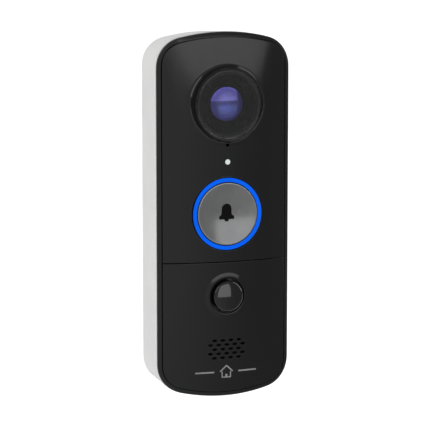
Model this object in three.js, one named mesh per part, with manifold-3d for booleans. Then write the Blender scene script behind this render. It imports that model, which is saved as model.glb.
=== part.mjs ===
// Battery video doorbell that hangs on a wall plate. Millimetres, +Z up, the wall is at +Y and the
// face looks along -Y. The origin is the middle of the wall plate's back face.
import * as THREE from 'three';
import { mergeVertices } from 'three/addons/utils/BufferGeometryUtils.js';
import Module from 'manifold-3d';

const wasm = await Module();
wasm.setup();

// ---- driving dimensions -------------------------------------------------------------------------
const WIDTH = 50;
const HEIGHT = 131.2;
const CORNER_RADIUS = 8.7;
const CORNER_POWER = 2.33; // 2 is a true arc, more is squarer
const END_ARCH = 4.5; // how far the top and bottom edges drop from the middle to the side

const GAP = 0.3; // between pieces that touch
const PLATE_THICKNESS = 2.7;
const PLATE_INSET = 2.6;
const SHELL_BACK = -3.0;
const SHELL_FRONT = -22.0;
const SHELL_DRAFT = 0.6;
const BACK_WALL = 1.8;
const CAVITY_BACK = SHELL_BACK - BACK_WALL;
const CAVITY_INSET_BACK = 2.6;
const CAVITY_INSET_FRONT = 2.2;
const LIP_THICKNESS = 0.9;
const STEP_Y = -18.6; // where the shell wall thins to the lip that the gasket sits behind

const FACE_EDGE = -22.8; // the face at its side edges
const FACE_BULGE = 4.8; // how far the middle stands in front of the side edges
const FACE_FADE = 0.44; // how much of the bulge is lost at the top and bottom
const RIM_WIDTH = 1.6;
const FASCIA_THICKNESS = 1.4;
const CARRIER_FRONT = FASCIA_THICKNESS + GAP; // behind the face
const CARRIER_BACK = CARRIER_FRONT + 1.5;
const SEAM_Z = -16.2;

const LENS_Z = 40.1;
const MIC_Z = 25.6;
const STATUS_Z = 19.6;
const BUTTON_Z = 1.0;
const PIR_Z = -28.5;
const SPEAKER_Z = -48.0;

const BEZEL_RADIUS = 13.4;
const BEZEL_RIM_RADIUS = 12.95;
const BEZEL_FRONT = -30.0;
const WINDOW_RADIUS = 11.9;
const RING_OUTER = 12.9;
const RING_INNER = 11.47;
const RING_FRONT = -27.15;
const CAP_RADIUS = 11.15;
const PIR_RADIUS = 5.5;

const SCREW_X = 18.5;
const SCREW_Z = 50;
const HOOK_X = 12;
const HOOK_TOP_Z = 54;
const HOOK_BOTTOM_Z = -40;
const LIFT = 8; // how far the doorbell rises to come off its hooks
const HOOK_HEAD_RADIUS = 2.7;

const TERMINAL_X = 5;
const TERMINAL_Z = -48;
const RESET_Z = -41;
const FLAP_HINGE_Y = -10;
const FLAP_HINGE_Z = -64.6;
const FLAP_THICKNESS = 1.2;

// ---- shape helpers ------------------------------------------------------------------------------
function signedVolume(points, triangles) {
  const a = new THREE.Vector3();
  const b = new THREE.Vector3();
  const c = new THREE.Vector3();
  let sum = 0;
  for (let i = 0; i < triangles.length; i += 3) {
    a.fromArray(points, 3 * triangles[i]);
    b.fromArray(points, 3 * triangles[i + 1]);
    c.fromArray(points, 3 * triangles[i + 2]);
    sum += a.dot(b.cross(c));
  }
  return sum / 6;
}

// A closed three.js geometry as a manifold solid with its faces pointing out.
function solid(geometry) {
  geometry.deleteAttribute('normal');
  geometry.deleteAttribute('uv');
  const merged = mergeVertices(geometry, 1e-4);
  const points = new Float32Array(merged.attributes.position.array);
  const triangles = new Uint32Array(merged.index.array);
  if (signedVolume(points, triangles) < 0) {
    for (let i = 0; i < triangles.length; i += 3) {
      const swap = triangles[i];
      triangles[i] = triangles[i + 1];
      triangles[i + 1] = swap;
    }
  }
  const mesh = new wasm.Mesh({ numProp: 3, vertProperties: points, triVerts: triangles });
  return new wasm.Manifold(mesh);
}

function block(lowX, highX, lowY, highY, lowZ, highZ) {
  const geometry = new THREE.BoxGeometry(highX - lowX, highY - lowY, highZ - lowZ);
  geometry.translate((lowX + highX) / 2, (lowY + highY) / 2, (lowZ + highZ) / 2);
  return solid(geometry);
}

// A round bar along Y.
function rod(x, z, radius, lowY, highY, segments = 14) {
  const geometry = new THREE.CylinderGeometry(radius, radius, highY - lowY, segments);
  geometry.translate(x, (lowY + highY) / 2, z);
  return solid(geometry);
}

// A round bar along Z.
function upright(x, y, radius, lowZ, highZ, segments = 14) {
  const geometry = new THREE.CylinderGeometry(radius, radius, highZ - lowZ, segments);
  geometry.rotateX(Math.PI / 2);
  geometry.translate(x, y, (lowZ + highZ) / 2);
  return solid(geometry);
}

// A profile of [radius, y] points turned about the line through (x, z) along Y. A profile that
// doesn't start on the axis is closed on itself.
function turned(x, z, profile, segments = 20) {
  const points = profile.map(([radius, y]) => new THREE.Vector2(radius, y));
  if (profile[0][0] > 0) points.push(points[0].clone());
  const geometry = new THREE.LatheGeometry(points, segments);
  geometry.translate(x, 0, z);
  return solid(geometry);
}

// An outline drawn in X and Z, carried from highY forward to lowY.
function slab(shape, lowY, highY) {
  const geometry = new THREE.ExtrudeGeometry(shape, {
    depth: highY - lowY,
    bevelEnabled: false,
    curveSegments: 4,
  });
  geometry.rotateX(Math.PI / 2);
  geometry.translate(0, highY, 0);
  return solid(geometry);
}

// A rectangle with round corners, in X and Z.
function roundedRectangle(x, z, halfWidth, halfHeight, radius) {
  const shape = new THREE.Shape();
  const quarter = Math.PI / 2;
  shape.absarc(x + halfWidth - radius, z + halfHeight - radius, radius, 0, quarter);
  shape.absarc(x - halfWidth + radius, z + halfHeight - radius, radius, quarter, 2 * quarter);
  shape.absarc(x - halfWidth + radius, z - halfHeight + radius, radius, 2 * quarter, 3 * quarter);
  shape.absarc(x + halfWidth - radius, z - halfHeight + radius, radius, 3 * quarter, 4 * quarter);
  shape.closePath();
  return shape;
}

function join(pieces) {
  return pieces.reduce((whole, piece) => whole.add(piece));
}

function cut(whole, tools) {
  return tools.reduce((rest, tool) => rest.subtract(tool), whole);
}

// The doorbell's outline, inset from its edge: straight sides, superellipse corners, arched ends.
function outline(inset) {
  const halfWidth = WIDTH / 2 - inset;
  const halfHeight = HEIGHT / 2 - inset;
  const radius = Math.max(CORNER_RADIUS - inset, 2);
  const points = [];
  const cornerSteps = 6;
  const archSteps = 3;
  const quadrant = [];
  for (let i = 0; i <= cornerSteps; i += 1) {
    const turn = (i / cornerSteps) * (Math.PI / 2);
    const across = Math.max(Math.cos(turn), 0) ** (2 / CORNER_POWER);
    const up = Math.sin(turn) ** (2 / CORNER_POWER);
    quadrant.push([halfWidth - radius + radius * across, halfHeight - radius + radius * up]);
  }
  for (let i = 1; i <= archSteps; i += 1) {
    quadrant.push([(halfWidth - radius) * (1 - i / archSteps), halfHeight]);
  }
  const quarter = quadrant.map(([x, z]) => [x, z - END_ARCH * (x / (WIDTH / 2)) ** 2]);
  const half = quarter.concat(quarter.slice(0, -1).reverse().map(([x, z]) => [-x, z]));
  half.forEach(([x, z]) => points.push([x, z]));
  half.forEach(([x, z]) => points.push([-x, -z]));
  return points;
}

// Outlines at rising insets and depths stacked into one solid, with flat ends.
function stack(levels) {
  const rings = levels.map(([y, inset]) => outline(inset).map(([x, z]) => [x, y, z]));
  const count = rings[0].length;
  const positions = rings.flat(2);
  const triangles = [];
  for (let level = 0; level + 1 < rings.length; level += 1) {
    for (let i = 0; i < count; i += 1) {
      const here = level * count + i;
      const next = level * count + ((i + 1) % count);
      triangles.push(here, next, next + count, here, next + count, here + count);
    }
  }
  const last = (rings.length - 1) * count;
  for (const [start, flip] of [[0, true], [last, false]]) {
    const centre = positions.length / 3;
    positions.push(0, positions[3 * start + 1], 0);
    for (let i = 0; i < count; i += 1) {
      const here = start + i;
      const next = start + ((i + 1) % count);
      triangles.push(centre, flip ? next : here, flip ? here : next);
    }
  }
  const geometry = new THREE.BufferGeometry();
  geometry.setAttribute('position', new THREE.Float32BufferAttribute(positions, 3));
  geometry.setIndex(triangles);
  return solid(geometry);
}

// A closed section of [inset, depth] stations carried all round the outline. A depth is a number or
// a function of x and z.
function frameRing(stations) {
  const rings = stations.map(([inset, depth]) =>
    outline(inset).map(([x, z]) => [x, typeof depth === 'number' ? depth : depth(x, z), z]),
  );
  const count = rings[0].length;
  const triangles = [];
  for (let station = 0; station < rings.length; station += 1) {
    const other = ((station + 1) % rings.length) * count;
    for (let i = 0; i < count; i += 1) {
      const next = (i + 1) % count;
      const here = station * count;
      triangles.push(here + i, here + next, other + next, here + i, other + next, other + i);
    }
  }
  const geometry = new THREE.BufferGeometry();
  geometry.setAttribute('position', new THREE.Float32BufferAttribute(rings.flat(2), 3));
  geometry.setIndex(triangles);
  return solid(geometry);
}

// The bowed face: a parabola across the width that flattens a little towards the ends.
function faceY(x, z) {
  const across = 1 - (x / (WIDTH / 2)) ** 2;
  const along = 1 - FACE_FADE * (z / (HEIGHT / 2)) ** 2;
  return FACE_EDGE - FACE_BULGE * across * along;
}

// A bowed sheet that follows the face, between two depths behind it.
function faceSheet(front, back) {
  const columns = 12;
  const rows = 4;
  const halfX = WIDTH / 2 + 1;
  const halfZ = HEIGHT / 2 + 1;
  const positions = [];
  for (const offset of [front, back]) {
    for (let row = 0; row <= rows; row += 1) {
      for (let column = 0; column <= columns; column += 1) {
        const x = halfX * ((2 * column) / columns - 1);
        const z = halfZ * ((2 * row) / rows - 1);
        positions.push(x, faceY(x, z) + offset, z);
      }
    }
  }
  const stride = columns + 1;
  const layer = stride * (rows + 1);
  const triangles = [];
  const quad = (a, b, c, d) => triangles.push(a, b, c, a, c, d);
  for (let row = 0; row < rows; row += 1) {
    for (let column = 0; column < columns; column += 1) {
      const corner = row * stride + column;
      quad(corner, corner + 1, corner + stride + 1, corner + stride);
      const behind = corner + layer;
      quad(behind + stride, behind + stride + 1, behind + 1, behind);
    }
  }
  for (let column = 0; column < columns; column += 1) {
    const high = rows * stride + column;
    quad(column + 1, column, column + layer, column + 1 + layer);
    quad(high, high + 1, high + 1 + layer, high + layer);
  }
  for (let row = 0; row < rows; row += 1) {
    const left = row * stride;
    const right = left + columns;
    quad(left, left + stride, left + stride + layer, left + layer);
    quad(right + stride, right, right + layer, right + stride + layer);
  }
  const geometry = new THREE.BufferGeometry();
  geometry.setAttribute('position', new THREE.Float32BufferAttribute(positions, 3));
  geometry.setIndex(triangles);
  return solid(geometry);
}

// A countersunk cross for a screwdriver, cut into a head that faces +Y.
function crossRecess(x, y, z, size) {
  const depth = 0.7;
  const half = size / 2;
  const bar = size / 6;
  return [
    block(x - half, x + half, y - depth, y + 1, z - bar, z + bar),
    block(x - bar, x + bar, y - depth, y + 1, z - half, z + half),
  ];
}

// ---- the object ---------------------------------------------------------------------------------
const doorbell = new THREE.Group();

function toGeometry(manifold) {
  const mesh = manifold.getMesh();
  const geometry = new THREE.BufferGeometry();
  const positions = new Float32Array(mesh.vertProperties);
  geometry.setAttribute('position', new THREE.BufferAttribute(positions, 3));
  geometry.setIndex(new THREE.BufferAttribute(new Uint32Array(mesh.triVerts), 1));
  geometry.computeVertexNormals();
  return geometry;
}

const WHITE_PLASTIC = { color: 0xdcdcda, roughness: 0.45, metalness: 0 };
const BLACK_GLOSS = { color: 0x1b1b1c, roughness: 0.25, metalness: 0 };
const BLACK_MATTE = { color: 0x202022, roughness: 0.7, metalness: 0 };
const BLACK_RUBBER = { color: 0x18181a, roughness: 0.9, metalness: 0 };
const DARK_GLASS = { color: 0x08080c, roughness: 0.05, metalness: 0 };
const SATIN_METAL = { color: 0x8f9092, roughness: 0.35, metalness: 1 };
const STEEL = { color: 0xb4b6b8, roughness: 0.35, metalness: 1 };
const BOARD_GREEN = { color: 0x1d4a32, roughness: 0.6, metalness: 0 };
const CHIP_BLACK = { color: 0x26262a, roughness: 0.6, metalness: 0 };
const BLUE_GLOW = { color: 0x0b62ee, roughness: 0.4, metalness: 0 };
const CLEAR_WHITE = { color: 0xe4ece8, roughness: 0.3, metalness: 0 };
const VIOLET_GLASS = { color: 0x3a36a0, roughness: 0.05, metalness: 0 };
const SILVER_WRAP = { color: 0x9aa0a8, roughness: 0.4, metalness: 0.3 };
const GOLD = { color: 0xc8a040, roughness: 0.35, metalness: 1 };

function add(name, manifold, finish) {
  const mesh = new THREE.Mesh(toGeometry(manifold), new THREE.MeshStandardMaterial(finish));
  mesh.name = name;
  doorbell.add(mesh);
}

// ---- wall plate ---------------------------------------------------------------------------------
const TAB_HALF_WIDTH = 5;
const TAB_FRONT = -7.4;
const TAB_LOW = -65.3;
const TAB_HIGH = -62.9;
const SECURITY_Y = -4.9;

// A long hole for a wall screw, with a sunk seat that keeps the head below the plate's front.
function screwSlot(z, acrossX) {
  const long = 4.5;
  const narrow = 1.9;
  const seat = 1.9;
  const half = acrossX ? [long, narrow] : [narrow, long];
  return [
    slab(roundedRectangle(0, z, half[0], half[1], 0.8 * narrow), -4, 1),
    slab(roundedRectangle(0, z, half[0] + seat, half[1] + seat, 0.8 * (narrow + seat)), -5, -1.2),
  ];
}

// A headed hook that the housing's keyhole drops over.
function hook(x, z) {
  return [
    block(x - 1.4, x + 1.4, -5.4, -2, z - 1.5, z + 1.5),
    rod(x, z, HOOK_HEAD_RADIUS, -6.4, -5.1),
  ];
}

const WINDOW_HALF_WIDTH = 9;
const WIRE_WINDOW_LOW = -57;
const WIRE_WINDOW_HIGH = -35;

function wallPlate() {
  const plate = stack([[0, PLATE_INSET], [-PLATE_THICKNESS, PLATE_INSET]]);
  const tab = join([
    block(-TAB_HALF_WIDTH, TAB_HALF_WIDTH, TAB_FRONT, -1, TAB_LOW, TAB_HIGH),
    block(-TAB_HALF_WIDTH, TAB_HALF_WIDTH, -PLATE_THICKNESS, 0, TAB_LOW, -60),
  ]);
  const hooks = [];
  for (const x of [-HOOK_X, HOOK_X]) {
    for (const z of [HOOK_BOTTOM_Z, HOOK_TOP_Z]) hooks.push(...hook(x, z));
  }
  const windowMiddle = (WIRE_WINDOW_LOW + WIRE_WINDOW_HIGH) / 2;
  const windowHalf = (WIRE_WINDOW_HIGH - WIRE_WINDOW_LOW) / 2;
  const wireWindow = roundedRectangle(0, windowMiddle, WINDOW_HALF_WIDTH, windowHalf, 2.5);
  return cut(join([plate, tab, ...hooks]), [
    slab(wireWindow, -4, 1),
    ...screwSlot(34, true),
    ...screwSlot(-18, false),
    upright(0, SECURITY_Y, 1.3, TAB_LOW - 1, TAB_HIGH + 1),
    upright(0, SECURITY_Y, 2.0, TAB_LOW - 1, TAB_LOW + 1.2),
  ]);
}
add('mounting_plate', wallPlate(), BLACK_MATTE);

// Stands upright through the tab and into the housing, with its head sunk in the tab.
function securityScrew() {
  const head = upright(0, SECURITY_Y, 1.7, TAB_LOW + 0.1, TAB_LOW + 0.9);
  const shank = upright(0, SECURITY_Y, 1.0, TAB_LOW + 0.8, -58.8);
  const slot = block(-1.2, 1.2, SECURITY_Y - 0.25, SECURITY_Y + 0.25, TAB_LOW - 1, TAB_LOW + 0.5);
  return cut(join([head, shank]), [slot]);
}
add('security_screw', securityScrew(), STEEL);

// ---- rear housing -------------------------------------------------------------------------------
const BOSS_RADIUS = 3.2;
const SEAT_Y = -9; // floor of the sunk seats of the case screws
const POST_X = 20.2;
const POST_HIGH_Z = 22;
const POST_LOW_Z = -34;
const BOARD_BACK = -16.9;
const BOARD_FRONT = -18.1;

function keyhole(x, z) {
  return [
    rod(x, z - LIFT, HOOK_HEAD_RADIUS + GAP, -6, -1),
    block(x - 1.7, x + 1.7, -6, -1, z - LIFT, z + 1.9),
  ];
}

function housing() {
  const outer = stack([
    [SHELL_BACK, 1.7],
    [SHELL_BACK - 0.5, 0.9],
    [SHELL_BACK - 1.4, SHELL_DRAFT],
    [SHELL_FRONT, 0],
  ]);
  const cavity = stack([[CAVITY_BACK, CAVITY_INSET_BACK], [STEP_Y - 0.1, CAVITY_INSET_FRONT]]);
  const mouth = stack([[STEP_Y, LIP_THICKNESS], [SHELL_FRONT - 1, LIP_THICKNESS]]);
  const shell = cut(outer, [cavity, mouth]);

  const added = [
    block(-6.8, 6.8, -9.2, -3.5, -64.2, -57.9),
    block(-8.2, 8.2, -17.5, -8.4, -64.2, -62.2),
  ];
  const removed = [
    block(-5.3, 5.3, -7.7, 0, -70, TAB_HIGH + GAP),
    upright(0, SECURITY_Y, 1.3, -66, -58.4),
    block(-6.6, 6.6, -16.3, -9.0, -70, FLAP_HINGE_Z + FLAP_THICKNESS / 2 + GAP),
    block(-4.8, 4.8, -14.9, -11.1, -70, -60),
    rod(0, RESET_Z, 1.8, -6, -1, 12),
  ];
  for (const x of [-SCREW_X, SCREW_X]) {
    for (const z of [-SCREW_Z, SCREW_Z]) {
      added.push(rod(x, z, BOSS_RADIUS, -18.3, -4));
      removed.push(rod(x, z, 2.5, SEAT_Y, -1));
      removed.push(rod(x, z, 1.4, -20, -1, 10));
    }
    for (const z of [HOOK_BOTTOM_Z, HOOK_TOP_Z]) {
      removed.push(...keyhole(Math.sign(x) * HOOK_X, z));
    }
    for (const z of [POST_LOW_Z, POST_HIGH_Z]) {
      const postX = Math.sign(x) * POST_X;
      added.push(rod(postX, z, 1.6, BOARD_BACK + GAP, -4, 10));
      added.push(rod(postX - Math.sign(x) * 1.2, z, 0.8, BOARD_FRONT - 0.5, -14, 8));
    }
    for (const z of [33, 47]) added.push(rod(Math.sign(x) * 7, z, 1.3, -12.3, -4, 8));
    for (const z of [-55.5, -40]) added.push(rod(Math.sign(x) * 4.2, z, 1.2, -10, -4, 8));
    removed.push(rod(Math.sign(x) * TERMINAL_X, TERMINAL_Z, 2.7, -6, -1));
  }
  return cut(join([shell, ...added]), removed);
}
add('rear_housing', housing(), WHITE_PLASTIC);

// Driven in from the back, through the housing's towers and into the frame's bosses.
function caseScrew(x, z) {
  const head = rod(x, z, 2.1, -8.6, -6.9);
  const shank = rod(x, z, 1.1, -21.4, -8.5, 8);
  return cut(join([head, shank]), crossRecess(x, -6.9, z, 2.6));
}
let screwNumber = 1;
for (const z of [SCREW_Z, -SCREW_Z]) {
  for (const x of [-SCREW_X, SCREW_X]) {
    add(`housing_screw_${screwNumber}`, caseScrew(x, z), STEEL);
    screwNumber += 1;
  }
}

const GASKET_FRONT = -19.9;
const perimeterGasket = frameRing([
  [1.25, STEP_Y - GAP],
  [2.1, STEP_Y - GAP],
  [2.1, GASKET_FRONT],
  [1.25, GASKET_FRONT],
]);
add('perimeter_gasket', perimeterGasket, BLACK_RUBBER);

// ---- front frame and fascias --------------------------------------------------------------------
const FRAME_BACK = GASKET_FRONT - GAP;
const behindFace = (offset) => (x, z) => faceY(x, z) + offset;
const rimEdge = (x, z) => FACE_EDGE + 0.3 + 0.9 * (faceY(x, z) - FACE_EDGE);
const GRILLE_HALF_WIDTH = 8.7;
const GRILLE_HALF_HEIGHT = 5.1;

function frontFrame() {
  const rim = frameRing([
    [0.1, SHELL_FRONT - GAP],
    [0.1, rimEdge],
    [RIM_WIDTH, behindFace(0)],
    [RIM_WIDTH, behindFace(CARRIER_FRONT)],
    [3.2, behindFace(CARRIER_FRONT)],
    [3.2, behindFace(CARRIER_BACK)],
    [2.4, FRAME_BACK],
    [1.2, FRAME_BACK],
    [1.2, SHELL_FRONT - GAP],
  ]);
  const field = stack([[-10, 3.0], [-40, 3.0]]);
  const carrier = faceSheet(CARRIER_FRONT + 0.1, CARRIER_BACK - 0.1).intersect(field);
  const bosses = [];
  const holes = [
    rod(0, LENS_Z, BEZEL_RADIUS + GAP, -40, -15, 32),
    rod(0, BUTTON_Z, RING_OUTER + GAP, -40, -15, 32),
    rod(0, PIR_Z, PIR_RADIUS + 0.35, -40, -15, 24),
    rod(0, MIC_Z, 0.9, -40, -15, 10),
    rod(0, STATUS_Z, 1.3, -40, -15, 12),
    slab(roundedRectangle(0, SPEAKER_Z, GRILLE_HALF_WIDTH, GRILLE_HALF_HEIGHT, 2), -40, -15),
  ];
  for (const x of [-SCREW_X, SCREW_X]) {
    for (const z of [-SCREW_Z, SCREW_Z]) {
      bosses.push(rod(x, z, 3.0, -22.0, -18.7));
      holes.push(rod(x, z, 1.4, -21.8, -15, 10));
    }
  }
  return cut(join([rim, carrier, ...bosses]), holes);
}
add('front_frame', frontFrame(), BLACK_GLOSS);

function fascia(lowZ, highZ) {
  const field = stack([[-10, RIM_WIDTH + GAP], [-40, RIM_WIDTH + GAP]]);
  const sheet = faceSheet(0, FASCIA_THICKNESS).intersect(field);
  return sheet.intersect(block(-30, 30, -40, -10, lowZ, highZ));
}

function upperFascia() {
  return cut(fascia(SEAM_Z + GAP / 2, 80), [
    rod(0, LENS_Z, BEZEL_RADIUS + GAP, -40, -15, 32),
    rod(0, BUTTON_Z, RING_OUTER + GAP, -40, -15, 32),
    rod(0, MIC_Z, 0.5, -40, -15, 10),
    rod(0, STATUS_Z, 1.3, -40, -15, 12),
  ]);
}
add('upper_fascia', upperFascia(), BLACK_GLOSS);

// Five staggered rows of short horizontal ovals.
const HOLE_PITCH_X = 3.05;
const HOLE_PITCH_Z = 1.61;
function grilleHoles() {
  const holes = [];
  const rows = [4, 5, 4, 5, 4];
  rows.forEach((count, row) => {
    const z = SPEAKER_Z + (2 - row) * HOLE_PITCH_Z;
    for (let i = 0; i < count; i += 1) {
      const x = (i - (count - 1) / 2) * HOLE_PITCH_X;
      const oval = new THREE.Shape();
      oval.absellipse(x, z, 0.95, 0.5, 0, 2 * Math.PI);
      holes.push(slab(oval, -40, -15));
    }
  });
  return holes;
}

function lowerFascia() {
  const sunk = turned(0, PIR_Z, [[0, -32], [8.2, -32], [7.5, -27.1], [5.85, -26.3], [0, -26.3]], 24);
  return cut(fascia(-80, SEAM_Z - GAP / 2), [
    rod(0, PIR_Z, PIR_RADIUS + 0.35, -40, -15, 24),
    sunk,
    ...grilleHoles(),
  ]);
}
add('lower_fascia', lowerFascia(), BLACK_GLOSS);

// ---- camera -------------------------------------------------------------------------------------
const WINDOW_FRONT = -29.5;
const WINDOW_BACK = -28.3;
const LEDGE_FRONT = WINDOW_BACK + GAP; // the window drops in from the front and rests on a ledge
const LEDGE_BACK = -27.3;
const MIC_BOOT_TOP = LENS_Z - BEZEL_RADIUS - GAP;
const MIC_BOOT_LOW = MIC_BOOT_TOP - 3.8;
const bezelRing = turned(0, LENS_Z, [
  [WINDOW_RADIUS + GAP, -29.8],
  [12.4, BEZEL_FRONT],
  [12.6, BEZEL_FRONT],
  [BEZEL_RIM_RADIUS, -29.6],
  [BEZEL_RADIUS, -26.5],
  [BEZEL_RADIUS, -21.8],
  [15, -21.8],
  [15, -20.8],
  [WINDOW_RADIUS + GAP, -20.8],
  [WINDOW_RADIUS + GAP, LEDGE_BACK],
  [10.9, LEDGE_BACK],
  [10.9, LEDGE_FRONT],
  [WINDOW_RADIUS + GAP, LEDGE_FRONT],
], 32);
const bootNotch = block(-2.4, 2.4, -22.5, -20, MIC_BOOT_LOW, MIC_BOOT_TOP + GAP);
add('lens_bezel', cut(bezelRing, [bootNotch]), BLACK_GLOSS);

const lensWindow = turned(0, LENS_Z, [
  [0, WINDOW_BACK],
  [WINDOW_RADIUS, WINDOW_BACK],
  [WINDOW_RADIUS, WINDOW_FRONT],
  [0, WINDOW_FRONT],
], 24);
add('lens_window', lensWindow, DARK_GLASS);

const windowGasket = turned(0, LENS_Z, [[10.6, -27], [11.8, -27], [11.8, -26.2], [10.6, -26.2]]);
add('window_gasket', windowGasket, BLACK_RUBBER);

const IR_LED_COUNT = 4;
const IR_LED_ORBIT = 9.6;
const irLedPlaces = [];
for (let i = 0; i < IR_LED_COUNT; i += 1) {
  const turn = ((i + 0.5) / IR_LED_COUNT) * 2 * Math.PI;
  irLedPlaces.push([IR_LED_ORBIT * Math.cos(turn), LENS_Z + IR_LED_ORBIT * Math.sin(turn)]);
}

function lensShroud() {
  const plate = turned(0, LENS_Z, [[7.6, -25.9], [11.7, -25.9], [11.7, -25.1], [7.6, -25.1]]);
  return cut(plate, irLedPlaces.map(([x, z]) => rod(x, z, 1.7, -27, -24, 8)));
}
add('lens_shroud', lensShroud(), BLACK_MATTE);

irLedPlaces.forEach(([x, z], index) => {
  const led = turned(x, z, [[0, -24.7], [1.4, -24.7], [1.4, -25.7], [0.9, -26.3], [0, -26.5]], 8);
  add(`ir_led_${index + 1}`, led, CLEAR_WHITE);
});

const irBoard = turned(0, LENS_Z, [[7.6, -24.4], [11.6, -24.4], [11.6, -23.6], [7.6, -23.6]]);
add('ir_board', irBoard, BOARD_GREEN);

const lensBarrel = turned(0, LENS_Z, [
  [6.3, -26.2],
  [7.2, -26.2],
  [7.2, -23.6],
  [6.0, -23.6],
  [6.0, -16.0],
  [4.6, -16.0],
  [4.6, -24.8],
  [6.3, -24.8],
], 16);
add('lens_barrel', lensBarrel, BLACK_MATTE);

const frontElement = [[0, -25.1], [6.0, -25.1], [6.0, -25.7]];
for (let i = 1; i <= 5; i += 1) {
  const radius = 6.0 * (1 - i / 5);
  frontElement.push([radius, -26.5 + 0.8 * (radius / 6.0) ** 2]);
}
add('lens_front_element', turned(0, LENS_Z, frontElement, 16), VIOLET_GLASS);

const rearElement = turned(0, LENS_Z, [[0, -16.6], [4.3, -16.8], [4.3, -17.6], [0, -18.2]], 14);
add('lens_rear_element', rearElement, VIOLET_GLASS);

function lensHolder() {
  const base = block(-9.5, 9.5, -20.5, -13.9, LENS_Z - 9.5, LENS_Z + 9.5);
  return cut(join([base, rod(0, LENS_Z, 11.6, -23.3, -20.0, 20)]), [
    rod(0, LENS_Z, 6.3, -30, -10, 16),
    block(-5.2, 5.2, -15.4, -10, LENS_Z - 5.2, LENS_Z + 5.2),
  ]);
}
add('lens_holder', lensHolder(), BLACK_MATTE);
add('image_sensor', block(-4, 4, -14.9, -13.9, LENS_Z - 3, LENS_Z + 3), CHIP_BLACK);
const cameraBoard = slab(roundedRectangle(0, LENS_Z, 11, 11, 1.5), -13.6, -12.6);
add('camera_board', cameraBoard, BOARD_GREEN);

// ---- microphone and status light ----------------------------------------------------------------
const PART_SEAT = BOARD_FRONT - GAP; // what is soldered to the board's front starts here
const bootBlock = block(-2, 2, -23.7, -19.4, MIC_BOOT_LOW, MIC_BOOT_TOP);
add('mic_boot', cut(bootBlock, [rod(0, MIC_Z, 0.5, -25, -18, 8)]), BLACK_RUBBER);
add('microphone', block(-1.8, 1.8, -19.1, PART_SEAT, MIC_Z - 1.4, MIC_Z + 1.4), STEEL);

const statusLens = turned(0, STATUS_Z, [
  [0, -19.5],
  [1.0, -19.5],
  [1.0, -22.8],
  [2.0, -22.8],
  [2.0, -23.5],
  [1.0, -23.5],
  [1.0, -27.2],
  [0.8, -27.4],
  [0, -27.4],
], 12);
add('status_lens', statusLens, CLEAR_WHITE);
const statusLed = block(-0.8, 0.8, -19.1, PART_SEAT, STATUS_Z - 0.5, STATUS_Z + 0.5);
add('status_led', statusLed, CLEAR_WHITE);

// ---- call button and its light ring -------------------------------------------------------------
const lightRing = turned(0, BUTTON_Z, [
  [RING_INNER, -22.3],
  [RING_INNER, RING_FRONT],
  [RING_OUTER, RING_FRONT],
  [RING_OUTER, -22.4],
  [14.6, -22.4],
  [14.6, -21.5],
  [13.1, -21.5],
  [13.1, -22.3],
], 32);
add('light_ring', lightRing, BLUE_GLOW);

const buttonBoard = turned(0, BUTTON_Z, [[0, -20.1], [14.8, -20.1], [14.8, -21.1], [0, -21.1]], 24);
add('button_board', buttonBoard, BOARD_GREEN);

const RING_LED_ORBIT = 12.2;
for (let i = 0; i < 4; i += 1) {
  const turn = (i / 2) * Math.PI;
  const x = RING_LED_ORBIT * Math.cos(turn);
  const z = BUTTON_Z + RING_LED_ORBIT * Math.sin(turn);
  add(`ring_led_${i + 1}`, block(x - 0.5, x + 0.5, -21.9, -21.4, z - 0.5, z + 0.5), BLUE_GLOW);
}

function buttonSwitch() {
  const base = block(-3, 3, -23.6, -21.4, BUTTON_Z - 3, BUTTON_Z + 3);
  return cut(base, [rod(0, BUTTON_Z, 2.0, -25, -22.0, 12)]);
}
add('button_switch', buttonSwitch(), CHIP_BLACK);
add('switch_plunger', rod(0, BUTTON_Z, 1.7, -24.3, -22.9, 12), CHIP_BLACK);

const capProfile = [
  [0, -24.6],
  [2.0, -24.6],
  [2.0, -25.6],
  [9.8, -25.6],
  [9.8, -24.4],
  [CAP_RADIUS, -24.4],
  [CAP_RADIUS, -27.1],
  [CAP_RADIUS - 0.35, -27.4],
];
for (let i = 1; i <= 4; i += 1) {
  const radius = 10.6 * (1 - i / 4);
  capProfile.push([radius, -26.05 - 1.3 * (radius / 10.6) ** 2]);
}
add('button_cap', turned(0, BUTTON_Z, capProfile, 32), SATIN_METAL);

// ---- motion sensor ------------------------------------------------------------------------------
const PIR_SHOULDER = -28.3;
const PIR_APEX = -29.8;
const pirProfile = [[7.4, -22.4], [7.4, -23.3], [PIR_RADIUS, -23.3], [PIR_RADIUS, PIR_SHOULDER]];
const pirInside = [[4.7, -22.4], [4.7, PIR_SHOULDER]];
for (let i = 1; i <= 3; i += 1) {
  const turn = (i / 3) * (Math.PI / 2);
  const rise = Math.sin(turn);
  pirProfile.push([PIR_RADIUS * Math.cos(turn), PIR_SHOULDER + (PIR_APEX - PIR_SHOULDER) * rise]);
  pirInside.push([4.7 * Math.cos(turn), PIR_SHOULDER + (PIR_APEX + 0.8 - PIR_SHOULDER) * rise]);
}
pirProfile[pirProfile.length - 1][0] = 0;
pirInside[pirInside.length - 1][0] = 0;
const pirSection = pirInside.slice().reverse().concat(pirProfile);
add('pir_lens', turned(0, PIR_Z, pirSection, 20), BLACK_GLOSS);

const pirSensor = turned(0, PIR_Z, [
  [0, PART_SEAT],
  [4.6, PART_SEAT],
  [4.6, -18.9],
  [4.1, -18.9],
  [4.1, -21.6],
  [0, -21.6],
], 14);
add('pir_sensor', pirSensor, STEEL);

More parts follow.
